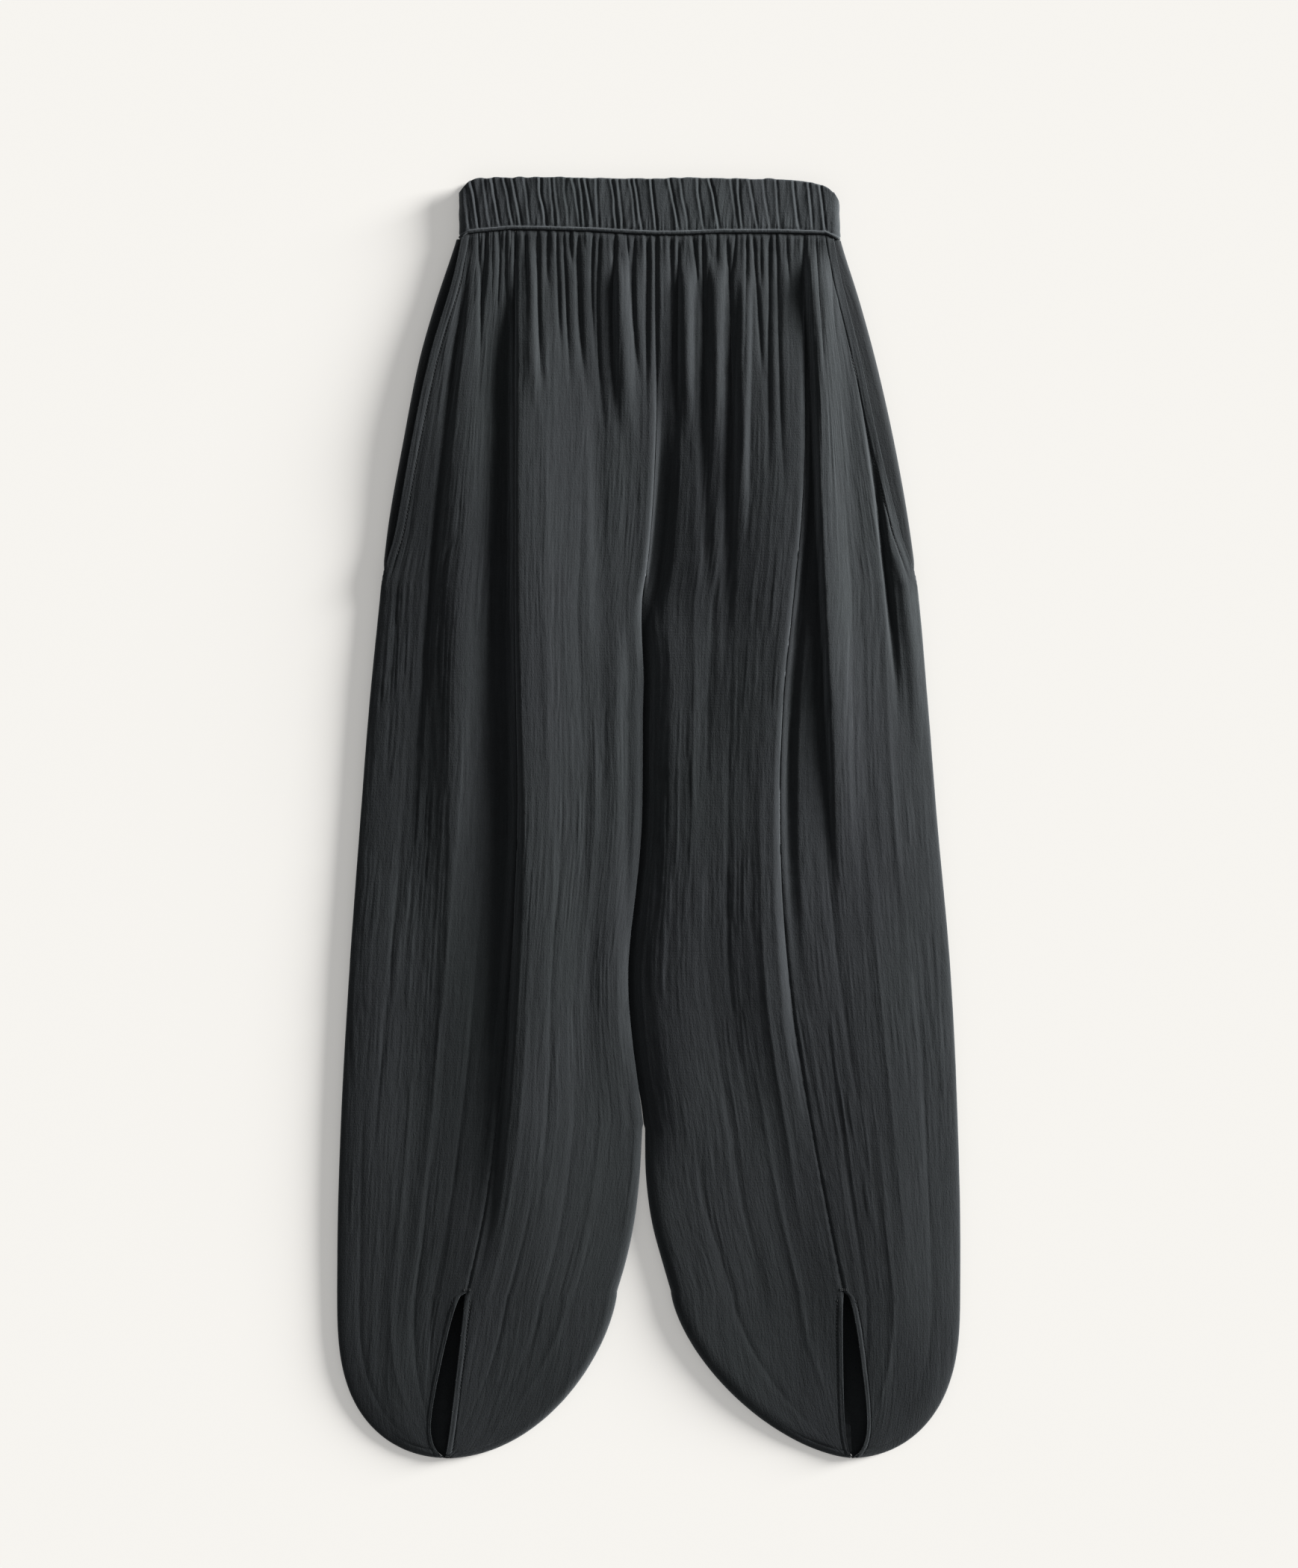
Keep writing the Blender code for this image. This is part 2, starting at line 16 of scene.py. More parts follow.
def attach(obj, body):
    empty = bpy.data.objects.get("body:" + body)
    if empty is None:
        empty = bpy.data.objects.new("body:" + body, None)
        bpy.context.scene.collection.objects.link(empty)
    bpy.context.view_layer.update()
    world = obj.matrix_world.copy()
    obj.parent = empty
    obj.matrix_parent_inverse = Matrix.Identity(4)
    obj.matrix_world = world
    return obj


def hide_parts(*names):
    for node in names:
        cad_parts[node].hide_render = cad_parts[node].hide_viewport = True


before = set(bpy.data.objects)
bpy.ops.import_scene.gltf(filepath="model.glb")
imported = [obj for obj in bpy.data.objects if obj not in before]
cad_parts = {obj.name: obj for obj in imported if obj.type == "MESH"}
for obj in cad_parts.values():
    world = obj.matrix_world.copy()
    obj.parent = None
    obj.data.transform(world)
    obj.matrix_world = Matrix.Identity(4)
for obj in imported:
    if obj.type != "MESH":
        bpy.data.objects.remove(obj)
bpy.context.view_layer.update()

bl_info = {
    "name": "Balloon trousers",
    "version": (1, 0, 0),
    "blender": (4, 5, 0),
    "location": "3D View > Sidebar > Trousers",
    "description": "Builds crinkled balloon trousers that lie flat, and the studio stage around them",
    "category": "Add Mesh",
}

BODY = "root"
MM = 0.001
LEGS = ("left", "right")

# Walls of the pieces and the gaps between them, in millimetres like all the garment's measures below.
WALL = 1.4
BAND_WALL = 2.8
BAG_WALL = 1.6
SEAM_GAP = 0.3
MOUTH_GAP = 1.0

# The rib along the waistband's lower edge, and the band's clearance over the surface.
LIP_RADIUS = 1.45
LIP_REACH = 1.15
RIB_HEIGHT = 3.4
BAND_CLEARANCE = 0.02

# Heights along the garment, and the waistband's two ends.
BAND_TOP = 520.0
BAND_BOTTOM = 473.0
TOP_ROW = BAND_BOTTOM - 1.5 * SEAM_GAP
POCKET_END = 208.0
CROTCH = 197.0
BACK_CROTCH = 172.0
SLIT_TOP = -384.0
TIP = -520.0
BAND_LEFT = -153.5
BAND_RIGHT = 155.0

# The level of the band's front wall, the lowest level of the front panels, and how softly they stop there.
BAND_LEVEL = 10.4
LOWEST_FRONT = 2.8
SOFT_FLOOR = 2.0

# A rolled edge: the tuck under it, the row length from which the tuck is whole, and the largest share of a
# row's length that its radius takes.
TUCK = 3.0
FULL_TUCK_ROW = 30.0
ROLL_SHARE = 0.25

# Where each edge starts to roll over, and the way down that it takes; how much smaller the side's roll gets
# towards the pocket's end, and over which heights.
WRAP_START = {"outer": POCKET_END - 4, "inner": CROTCH + 8}
WRAP_WAY = {"outer": 28.8, "inner": 38.4}
SIDE_ROLL_LOSS = 0.42
SIDE_ROLL_ROWS = (340.0, 215.0)

# The left leg's edge over the right leg's: how far it hangs, and the heights where that starts and ends.
LIP_LAP = 0.9
LAP_START = (191.0, 178.0)
LAP_END = (-240.0, -200.0)

# The right leg beside that edge: a flat strip, then shares of the rise with the way that each takes.
VALLEY_FLAT = 3.0
VALLEY_LIFT = 0.1
VALLEY_RISES = ((0.76, 9.0), (0.24, 34.0))
VALLEY_END = (-290.0, -215.0)

# Below the waistband: the heights between which the cloth comes to follow the band's lower edge, the height
# from which it closes up to the band, by how much, how far it goes up and down inside the rib, and between
# which places at each side that starts.
NEAR_BAND = (415.0, 470.0)
CLOSE_ROW = BAND_BOTTOM - 3.2
CLOSE_UP = 0.32
BAND_LAP = (1.7, 2.4)
LAP_LEFT = (-151.0, -146.0)
LAP_RIGHT = (152.0, 147.0)

# The back panels: how far a slit goes on in them and how wide it shows, how far their seam is moved, the
# size of their triangles, the heights of their seam's and their outline's points, and those beside the tip.
BACK_SLIT = 28.0
BACK_SLIT_SHOWN = 0.02
BACK_SEAM_SHIFT = 1.5
BACK_SPACING = 5.0
BACK_SEAM_ROWS = (BACK_CROTCH, 230, 260, 300, 340, 380, 430, BAND_BOTTOM - SEAM_GAP)
BACK_ROWS = np.array(
    [TOP_ROW, 454, 430, 400, 362, 320, 275, 236]
    + [POCKET_END + 4, POCKET_END - 6, CROTCH - 1, CROTCH - 8, BACK_CROTCH - 3, 150]
    + [*np.linspace(120, SLIT_TOP, 24)]
)
BACK_TIP = ((7.2, 5.6), (4.0, 2.6), (1.6, 1.0))

# The pockets: the facing's way in under the mouth, the way that the mouth's edge takes to the cloth's
# height, where the mouth closes to the side, the height that the facing sinks to, and how it nests in the
# rolled side at the mouth's end.
FACING_LAP = 13.0
EDGE_BLEND = 14.0
MOUTH_CLOSES = (POCKET_END + 24, POCKET_END - 32)
FACING_SUNK = 4.2
FACING_END = POCKET_END - 24
NESTED_ROWS = (POCKET_END + 2, POCKET_END - 14)
NESTED_INSET = 1.6
NESTED_ROLL = 1.7
NESTED_RISE = 1.5

# The pocket bags: their top, low end, reach inwards and corners, and the size of their triangles.
BAG_TOP = 430.0
BAG_LOW = 196.0
BAG_REACH = 66.0
BAG_CORNER = 28.0
BAG_STEP = 12.0
BAG_STATIONS = (BAG_TOP, 380.0, 310.0, 240.0)
BAG_SPACING = 4.0

# Hems and stitching. The bars are three short rows of stitches across the seam above each slit.
HEM_WIDTH = 4.6
MOUTH_HEM = 7.0
STITCH_PITCH = 3.0
STITCH_LENGTH = 2.2
BAR_PITCH = 1.6
BAR_LENGTH = 1.5
BAR_ROWS = (1.6, 2.3, 3.0)
BAR_RISE = 0.1
THREAD_RADIUS = 0.26
THREAD_RISE = (0.12, 0.22)
STITCH_RINGS = 5
STITCH_SIDES = 6

# How deep the gathers and the longer creases are made, as shares of their tables, and what is left of the
# creases at the leg's end.
GATHER_SHARE = 0.95
CREASE_SHARE = 0.6
CREASE_LEFT = 0.3
CREASE_FADE = (-490.0, -400.0)

# The crinkle's two sizes of ridges, its patches and its crepe, each as width and length.
WIDE_RIDGE = (3.3, 62)
FINE_RIDGE = (1.7, 34)
CRINKLE_PATCH = (19, 60)
CREPE = (5, 4.5)

# Places across the flow of the crinkle: the width of a panel, and where each piece starts.
FLOW_WIDTH = 118
FLOW_START = {
    "front_side_left": 0,
    "front_centre_left": 150,
    "front_side_right": 400,
    "front_centre_right": 550,
    "pocket_facing_left": 900,
    "pocket_facing_right": 960,
    "flat_pieces": 1400,
}

# How far the crinkle beside a slit runs along the slit instead of spreading round the leg's end.
PARALLEL = 0.75

# How far from its edge a leg takes to round up to its full height.
EDGE_ROUND = {"outer_left": 36.0, "outer_right": 16.0, "inner_left": 6.5, "inner_right": 14.0}

# The stage, in metres: the surface's level, the sun's distance and the middle of what the nearer lamp
# lights. The camera's sensor is in millimetres.
SURFACE_LEVEL = -0.0004
KEY_DISTANCE = 3.0
LAMP_AIM = (0, 0.25, 0)
SENSOR_WIDTH = 36.0

# How finely the waistband and the panels are divided. The fan is the rows below a slit's top, round the
# leg's end.
BAND_FRONT_PLACES = 440
BAND_END_PLACES = 16
BAND_BACK_PLACES = 150
BAND_ROWS = 34
PANEL_COLUMNS = 150
ROLL_COLUMNS = 10
LINE_POINTS = 520
ROLL_POINTS = 24
ROW_STEP = 4.0
FAN_ROWS = 52
BACK_FAN_ROWS = 14

# Places across of the garment's lines, down from the waistband to the slits' tops.
STATION_COLUMNS = (
    "y", "outer_left", "mouth_left", "seam_left", "centre", "seam_right", "mouth_right", "outer_right",
)
STATIONS = (
    (472.7, -156, -152, -108, 6, 126, 150, 156),
    (434.0, -168, -160, -108, 6, 126, 157, 167),
    (380.0, -184, -176, -108, 6, 126, 170, 182),
    (301.0, -200, -193, -108, 6, 126, 187, 200),
    (240.0, -211, -204, -108, 5, 123, 202, 211),
    (179.0, -218, -216, -108, 4, 117, 217, 219),
    (100.0, -226, -225, -107, 3, 109, 226, 226),
    (0.0, -234, -233, -106, 3, 106, 233, 234),
    (-124.0, -243, -242, -112, -9, 113, 244, 245),
    (-250.0, -250, -249, -123, -4, 132, 250, 251),
    (-330.0, -252.5, -251, -135, -4, 147, 251, 253),
    (-384.0, -253, -252, -147, -4, 158, 252, 253),
)

# Radii of the rolled edges, and the front's even level.
LEVEL_COLUMNS = ("y", "roll_outer", "roll_inner_left", "roll_inner_right", "level")
LEVELS = (
    (472.7, 3.5, 3.5, 1.6, 10.4),
    (380.0, 4.6, 4.5, 1.6, 12.5),
    (240.0, 5.6, 5.4, 1.6, 12.5),
    (60.0, 5.6, 5.6, 1.6, 11.0),
    (-180.0, 4.8, 5.0, 1.8, 9.8),
    (-384.0, 3.6, 3.4, 3.0, 9.0),
    (-470.0, 2.4, 2.4, 2.4, 7.5),
    (-520.0, 1.2, 1.2, 1.2, 4.5),
)

# How far the line where the legs touch lies from the table's middle line, down the garment.
TOUCH_SHIFT = (
    (330, 0), (240, -3.2), (210, -5.4), (197, -6.8), (185, -8.6), (167, -9.3), (149, -8.9), (131, -7.8),
    (119, -7.0), (82, -7.4), (20, -8.2), (-63, -7.2), (-140, -7.0), (-200, -4.2), (-250, 0),
)

# The legs' inner edges where they part.
INNER_COLUMNS = ("y", "inner_left", "inner_right")
INNER_EDGES = (
    (-250.0, -5, -3),
    (-294.0, -7.5, -2),
    (-330.0, -12, 3),
    (-360.0, -18.5, 11),
    (-384.0, -25.5, 18),
)

# The slits: their tops and tips across, how far each side bows out, and how round each side of the leg's
# end is.
SLIT_COLUMNS = ("leg", "top_x", "tip_x", "outer_bow", "inner_bow", "outer_power", "inner_power")
SLITS = (
    ("left", -148.6, -165.0, 18.5, 1.0, 3.0, 2.0),
    ("right", 158.6, 165.4, 16.0, 6.0, 2.8, 1.6),
)

# The largest folds. Each runs from y_top to y_low through three places across, which count from the line
# named in "along" where one is named. A height below zero makes a trough, "left" and "right" are its reach
# to each side, and the fades are how soon the fold rises and dies.
FOLD_COLUMNS = (
    "name", "along", "y_top", "y_low", "x_top", "x_middle", "x_low", "left", "right", "height",
    "fade_top", "fade_low",
)
FOLDS = (
    ("side trough", "", 440, 0, -150, -172, -190, 8, 7, -2.6, 70, 170),
    ("side plateau", "", 470, -140, -138, -150, -176, 30, 26, 4.0, 110, 200),
    ("side valley", "seam_left", 450, -400, -8, -9, -12, 46, 9, -5.4, 90, 420),
    ("left seam crest", "seam_left", 466, -420, 3, 6, 16, 8, 60, 6, 110, 260),
    ("left tent", "seam_left", 430, -490, 5, 12, 40, 98, 98, 6.6, 200, 160),
    ("left first ridge", "", 468, 318, -96, -94, -92, 8, 6, 2.2, 30, 60),
    ("left inner ridge", "", 460, 295, -24, -20, -15, 10, 9, 4.2, 30, 80),
    ("left inner trough", "", 400, -80, -44, -40, -34, 9, 14, -1.4, 90, 160),
    ("left turn-down", "", 170, -250, -26, -28, -26, 26, 12, 2.5, 60, 120),
    ("centre valley", "touch", 430, 110, 6, 6, 8, 11, 50, -4, 190, 80),
    ("centre cleft", "touch", 400, 150, 5, 5, 4, 7, 18, -8, 180, 40),
    ("right shoulder", "touch", 190, -330, 26, 28, 30, 22, 60, 3.0, 60, 120),
    ("right centre ridge", "", 455, 290, 31, 31, 33, 8, 7, 4.2, 30, 90),
    ("right second ridge", "", 455, 270, 55, 55, 54, 7, 7, 3.6, 30, 90),
    ("right centre trough", "", 400, 150, 46, 46, 48, 8, 8, -1.6, 60, 90),
    ("right middle trough", "", 410, 100, 66, 65, 61, 7, 8, -2.6, 60, 140),
    ("right middle ridge", "", 450, 210, 79, 77, 74, 7, 6, 3.6, 40, 90),
    ("right seam crest", "seam_right", 455, -300, -6, -5, -14, 64, 9, 5.4, 110, 200),
    ("right tent", "seam_right", 440, -340, -8, -8, -20, 128, 110, 6.8, 200, 280),
    ("right seam valley", "seam_right", 440, -190, 4, 7, 8, 6, 8, -3.8, 90, 260),
    ("right side ridge", "", 466, -100, 131, 143, 157, 6, 28, 9, 40, 240),
    ("right outer swell", "", 260, -490, 160, 192, 204, 100, 46, 5, 200, 120),
    ("right side trough", "", 455, 60, 156, 185, 204, 4.5, 6.5, -6.5, 20, 160),
    ("right outer ridge", "", 430, 30, 171, 203, 222, 9, 8, 2.5, 60, 120),
)

# The gathers below the waistband: narrow valleys between rounded tubes of cloth. Each starts at the band
# and runs through a middle place to its low end.
GATHER_COLUMNS = ("x_top", "x_middle", "x_low", "y_low", "depth", "reach")
GATHERS = (
    (-150, -155, -168, 300, 3.0, 7),
    (-146, -150, -157, 340, 1.5, 5),
    (-138, -136, -138, 330, 1.8, 5),
    (-131, -134, -137, 392, 2.6, 5),
    (-121, -121, -125, 400, 1.8, 5),
    (-115, -115.5, -111, 380, 1.8, 4.5),
    (-108.2, -108.2, -108.2, 260, 2.6, 5),
    (-101, -98, -100, 380, 1.6, 4.5),
    (-90, -89, -86, 330, 3.0, 6),
    (-81, -82, -81, 420, 2.0, 4),
    (-74.5, -73, -70, 360, 1.8, 4.5),
    (-69, -66, -62, 330, 1.8, 4.5),
    (-63, -63, -61, 440, 1.4, 4),
    (-57, -56, -48, 330, 3.0, 6),
    (-45, -45.5, -40, 350, 2.0, 4),
    (-39.5, -41, -33, 295, 2.2, 5),
    (-27.5, -29, -29, 320, 2.9, 6),
    (-18, -16, -18, 400, 1.6, 4),
    (-11, -12, -3, 330, 2.4, 5),
    (-0.5, -1.5, -2, 320, 3.0, 6),
    (6.2, 6.2, 6, 300, 2.4, 5),
    (17.5, 19.5, 18, 320, 3.6, 5),
    (24.0, 23.5, 22, 280, 2.4, 5),
    (35, 40, 41, 400, 2.2, 5),
    (44, 44.5, 41, 240, 3.2, 7),
    (55.5, 55.5, 55, 440, 1.0, 4),
    (63, 67, 62, 240, 3.6, 7),
    (70.5, 69, 66, 430, 2.4, 4),
    (79.5, 78, 76, 300, 1.8, 4.5),
    (84.5, 89.5, 94, 330, 2.6, 5),
    (91, 91, 91, 420, 2.0, 4),
    (98, 97, 97.5, 250, 2.6, 6),
    (104, 106, 110, 240, 2.0, 5),
    (111, 113.5, 116, 410, 1.2, 4),
    (126, 126, 126, 250, 2.6, 5),
    (135.5, 139, 146, 330, 1.6, 5),
    (149, 149, 155, 360, 1.5, 5),
)

# Longer creases down the legs, as shares of the way from a panel's outer or inner edge to its seam. Their
# ends are heights down the leg, which go on along the slit below its top.
CREASE_COLUMNS = ("y_top", "y_low", "share_top", "share_low", "reach", "height")
CREASES = {
    "front_side_left": (
        (330, 20, 0.10, 0.16, 5.0, -1.6),
        (250, -60, 0.42, 0.36, 6.0, 1.4),
        (120, -300, 0.30, 0.22, 5.0, -1.2),
        (60, -420, 0.62, 0.55, 6.5, 1.2),
        (-40, -470, 0.80, 0.74, 5.0, -1.3),
        (-150, -500, 0.44, 0.42, 6.0, 1.0),
        (-220, -505, 0.14, 0.20, 4.5, -0.9),
        (-260, -510, 0.60, 0.62, 4.5, -1.0),
    ),
    "front_centre_left": (
        (330, -30, 0.78, 0.74, 8.0, 1.6),
        (300, 60, 0.52, 0.50, 6.0, -1.4),
        (200, -180, 0.34, 0.42, 7.0, 1.2),
        (60, -330, 0.64, 0.66, 5.0, -1.2),
        (-60, -420, 0.84, 0.86, 5.5, 1.1),
        (-120, -480, 0.46, 0.50, 6.0, -1.0),
        (-230, -500, 0.28, 0.36, 6.0, 1.0),
        (-280, -505, 0.70, 0.74, 4.0, -1.0),
    ),
    "front_centre_right": (
        (300, 20, 0.50, 0.46, 7.0, -1.6),
        (240, -80, 0.34, 0.40, 7.0, 1.2),
        (120, -230, 0.62, 0.64, 5.0, -1.2),
        (60, -350, 0.86, 0.84, 7.0, 1.8),
        (-80, -420, 0.50, 0.54, 6.0, -1.0),
        (-190, -500, 0.72, 0.76, 5.0, 1.0),
        (-250, -505, 0.30, 0.40, 5.5, -1.0),
    ),
    "front_side_right": (
        (300, -60, 0.56, 0.50, 6.0, -1.4),
        (180, -120, 0.30, 0.26, 6.0, 1.4),
        (110, -260, 0.74, 0.66, 6.0, -1.3),
        (20, -360, 0.46, 0.44, 7.0, 1.2),
        (-90, -450, 0.20, 0.26, 5.0, -1.0),
        (-160, -490, 0.80, 0.82, 4.5, -1.1),
        (-240, -505, 0.56, 0.60, 5.0, 1.0),
    ),
}

# The sharp creases that lean across the waistband's front: their place at its top edge, lean and depth.
BAND_CREASES = (
    (-147.8, 3, 0.9), (-143, 6, 1.7), (-134, 6, 0.8), (-126, 7, 1.5), (-116.3, 8, 1.2), (-109.6, 7, 1.2),
    (-99.9, 5, 0.8), (-88.3, 6, 1.7), (-79.2, 4, 0.8), (-75.6, 5, 0.6), (-68.3, 4, 0.6), (-61, 6, 0.9),
    (-54.9, 4, 1.0), (-50.7, 6, 1.3), (-42.8, 3, 0.9), (-29.4, 5, 1.2), (-24.6, 5, 0.9), (-14.3, 5, 0.8),
    (-10.6, 6, 1.2), (2.7, 5, 1.6), (16.7, 9, 1.4), (26, 7, 0.9), (39.2, 6, 1.1), (50.1, 8, 1.6),
    (66.5, 7, 0.8), (72.5, 4, 1.3), (81.7, 8, 1.0), (93, 6, 0.7), (103.5, 3, 0.9), (117.5, 5, 1.2),
    (129.6, 4, 1.2), (139.3, 5, 1.4),
)

# How the band's lower and upper edges stray from straight, along the front.
BAND_LOW_WAVE = (
    (-153, -3.6), (-146.6, 0.7), (-129, 2.5), (-113, 4.0), (-89.5, 3.8), (-47.7, 2.7), (-24.6, 1.2),
    (7.6, -0.3), (32, 0.0), (57, 1.2), (106, 1.2), (143.6, 0.1), (154, -4.6),
)
BAND_HIGH_WAVE = (
    (-153.5, -16), (-152, -12), (-150, -8.4), (-148, -5.6), (-145, -3.4), (-141, -2.0), (-132, -1.3),
    (-112, -0.6), (-60, -1.0), (0, -1.5), (60, -1.2), (100, -2), (133, -4.8), (141, -7), (146, -9.5),
    (150, -13), (153, -19), (155.5, -29),
)


class ClothSettings(bpy.types.PropertyGroup):
    """Sizes and colours of the cloth."""

    fold_scale: bpy.props.FloatProperty(
        name="Fold scale", description="Height of the large folds, as a share of the tables'", default=1.0
    )
    gather_scale: bpy.props.FloatProperty(
        name="Gather scale", description="Depth of the gathers, as a share of the tables'", default=1.0
    )
    crinkle_height: bpy.props.FloatProperty(
        name="Crinkle height",
        description="Height of the fine crinkle",
        default=0.00046,
        unit="LENGTH",
        precision=5,
    )
    # The waistband takes the legs' colour made lighter by this share: painted light for the light that the
    # band catches.
    band_painted_light: bpy.props.FloatProperty(
        name="Waistband shade", description="Colour of the waistband as a share of the legs'", default=1.5
    )
    cloth_colour: bpy.props.FloatVectorProperty(
        name="Cloth colour",
        description="Colour of the gauze",
        default=(0.0128, 0.0144, 0.0152),
        size=3,
        subtype="COLOR",
    )
    # The strips beside the pockets, and the pocket bags, take a colour darker than the cloth's: painted
    # shade for the shade that the strips lie in.
    facing_shade_colour: bpy.props.FloatVectorProperty(
        name="Facing colour",
        description="Colour of the strips beside the pockets",
        default=(0.0088, 0.0098, 0.0103),
        size=3,
        subtype="COLOR",
    )
    thread_colour: bpy.props.FloatVectorProperty(
        name="Thread colour",
        description="Colour of the stitching",
        default=(0.036, 0.039, 0.042),
        size=3,
        subtype="COLOR",
    )
    roughness: bpy.props.FloatProperty(
        name="Roughness", description="Roughness of the cloth", default=0.95, subtype="FACTOR"
    )
    sheen: bpy.props.FloatProperty(
        name="Sheen", description="Strength of the soft sheen of its fibres", default=0.28, subtype="FACTOR"
    )


class StageSettings(bpy.types.PropertyGroup):
    """The surface, the light and the camera."""

    floor_size: bpy.props.FloatProperty(
        name="Surface size", description="Side of the pale surface", default=9.0, unit="LENGTH"
    )
    floor_colour: bpy.props.FloatVectorProperty(
        name="Surface colour",
        description="Colour of the pale surface",
        default=(0.938, 0.914, 0.866),
        size=3,
        subtype="COLOR",
    )
    floor_glow: bpy.props.FloatProperty(
        name="Surface glow", description="Light from the surface, which softens shadows", default=0.240
    )
    key_strength: bpy.props.FloatProperty(
        name="Key strength", description="Strength of the soft light from the right", default=6.6
    )
    key_elevation: bpy.props.FloatProperty(
        name="Key elevation",
        description="Height of the key light above the surface",
        default=math.radians(13.5),
        subtype="ANGLE",
    )
    key_turn: bpy.props.FloatProperty(
        name="Key turn",
        description="How far the key light is turned from +X towards +Y",
        default=math.radians(20),
        subtype="ANGLE",
    )
    key_spread: bpy.props.FloatProperty(
        name="Key spread",
        description="Width of the key light as seen from the cloth",
        default=math.radians(20),
        subtype="ANGLE",
    )
    lamp_power: bpy.props.FloatProperty(
        name="Lamp power", description="Power of the lamp that lights only the garment", default=24.0
    )
    lamp_place: bpy.props.FloatVectorProperty(
        name="Lamp place",
        description="Where the nearer lamp stands",
        default=(0.95, 0.80, 0.34),
        size=3,
        unit="LENGTH",
    )
    lamp_size: bpy.props.FloatProperty(
        name="Lamp size", description="Side of the nearer lamp", default=0.4, unit="LENGTH"
    )
    fill: bpy.props.FloatProperty(
        name="Fill", description="Strength of the even light from all round", default=0.25
    )
    camera_height: bpy.props.FloatProperty(
        name="Camera height", description="Height of the camera above the cloth", default=2.8, unit="LENGTH"
    )
    camera_x: bpy.props.FloatProperty(
        name="Camera X", description="Place of the camera across", default=0.0003, unit="LENGTH"
    )
    camera_y: bpy.props.FloatProperty(
        name="Camera Y", description="Place of the camera along the garment", default=0.0276, unit="LENGTH"
    )
    view_height: bpy.props.FloatProperty(
        name="View height",
        description="Length of surface that the picture's long side takes in",
        default=1.275,
        unit="LENGTH",
    )


def column(rows, columns, name):
    """One column of a table."""
    return np.array([row[columns.index(name)] for row in rows], float)


def smooth(low, high, value):
    """A soft step from 0 at low to 1 at high; low may be the larger of the two."""
    t = np.clip((value - low) / (high - low), 0, 1)
    return t * t * (3 - 2 * t)


def through(y, ys, values):
    """A smooth curve through the table's values, read at y. The stations run down the garment."""
    ys = ys[::-1]
    values = values[::-1]
    slopes = np.gradient(values, ys)
    y = np.clip(y, ys[0], ys[-1])
    k = np.clip(np.searchsorted(ys, y) - 1, 0, len(ys) - 2)
    step = ys[k + 1] - ys[k]
    t = (y - ys[k]) / step
    bend = (2 * t**3 - 3 * t**2 + 1) * values[k] + (3 * t**2 - 2 * t**3) * values[k + 1]
    return bend + step * ((t**3 - 2 * t**2 + t) * slopes[k] + (t**3 - t**2) * slopes[k + 1])


def station(y, name):
    """The place across of one of the garment's lines at a height."""
    return through(y, column(STATIONS, STATION_COLUMNS, "y"), column(STATIONS, STATION_COLUMNS, name))


def level_of(y, name):
    """A radius of a rolled edge, or the front's even level, at a height."""
    return through(y, column(LEVELS, LEVEL_COLUMNS, "y"), column(LEVELS, LEVEL_COLUMNS, name))


def roll_of(y, leg, which):
    """The radius of a rolled edge, to the middle of its wall."""
    return level_of(y, "roll_outer" if which == "outer" else "roll_inner_" + leg)


def touch_line(y):
    """Where the legs touch, and where the centre seam runs above them."""
    return station(y, "centre") + through(y, *np.array(TOUCH_SHIFT, float).T)


def side_roll(y, leg):
    """The radius of the side's roll along the pocket: it gets smaller towards the pocket's end."""
    return roll_of(y, leg, "outer") * (1 - SIDE_ROLL_LOSS * smooth(*SIDE_ROLL_ROWS, y))


def inner_edge(y, leg):
    """A leg's inner edge: the left one hangs over the right one where they touch, and then they part."""
    lap = LIP_LAP * smooth(*LAP_START, y) * smooth(*LAP_END, y)
    touching = touch_line(y) + (0.5 * SEAM_GAP - lap if leg == "right" else -0.5 * SEAM_GAP)
    ys = column(INNER_EDGES, INNER_COLUMNS, "y")
    parted = through(y, ys, column(INNER_EDGES, INNER_COLUMNS, "inner_" + leg))
    return np.where(y > ys[0], touching, parted)


def rows_down(step=ROW_STEP):
    """Heights of the rows above the slits: closer together just below the waistband."""
    close_rows = 440
    near = np.arange(TOP_ROW - 0.5 * step, close_rows, -0.55 * step)
    far = np.arange(close_rows, SLIT_TOP + 0.5 * step, -step)
    return np.concatenate([[TOP_ROW, TOP_ROW - 1.0], near, far, [SLIT_TOP]])


def slit_of(leg):
    """The slit's row of the table, by column."""
    return next(dict(zip(SLIT_COLUMNS, row)) for row in SLITS if row[0] == leg)


def outward_of(leg):
    """The direction across, away from the middle."""
    return -1 if leg == "left" else 1


def bow(t):
    """The slit's opening along its length: it widens to the lower half and closes at the tip."""
    return t**0.45 * (1 - t**10) ** 0.9


def fan_shares(rows):
    """Shares of the slit's length at which the fan's rows meet it."""
    return np.linspace(0, 0.999, rows + 1)[1:]


def fan_points(leg, which, rows=FAN_ROWS):
    """Outline and slit points of the rows below the slit's top, spread round the leg's end like a fan."""
    slit = slit_of(leg)
    outward = outward_of(leg)
    turn = np.linspace(0, 89.6, rows + 1)[1:] * math.pi / 180
    along = fan_shares(rows)
    power = slit[which + "_power"]
    if which == "outer":
        edge_x = station(SLIT_TOP, "outer_" + leg)
        side = outward
        drop_power = power
        reach_power = 2.0
    else:
        edge_x = inner_edge(SLIT_TOP, leg)
        side = -outward
        drop_power = 1.5
        reach_power = power
    reach = abs(edge_x - slit["tip_x"])
    outline_x = slit["tip_x"] + side * reach * np.cos(turn) ** (2 / reach_power)
    outline_y = SLIT_TOP + (TIP - SLIT_TOP) * np.sin(turn) ** (2 / drop_power)
    middle_x = slit["top_x"] + (slit["tip_x"] - slit["top_x"]) * along
    slit_x = middle_x + side * np.maximum(slit[which + "_bow"] * bow(along), SEAM_GAP)
    slit_y = SLIT_TOP + (TIP - SLIT_TOP) * along
    return np.stack([outline_x, outline_y], 1), np.stack([slit_x, slit_y], 1)


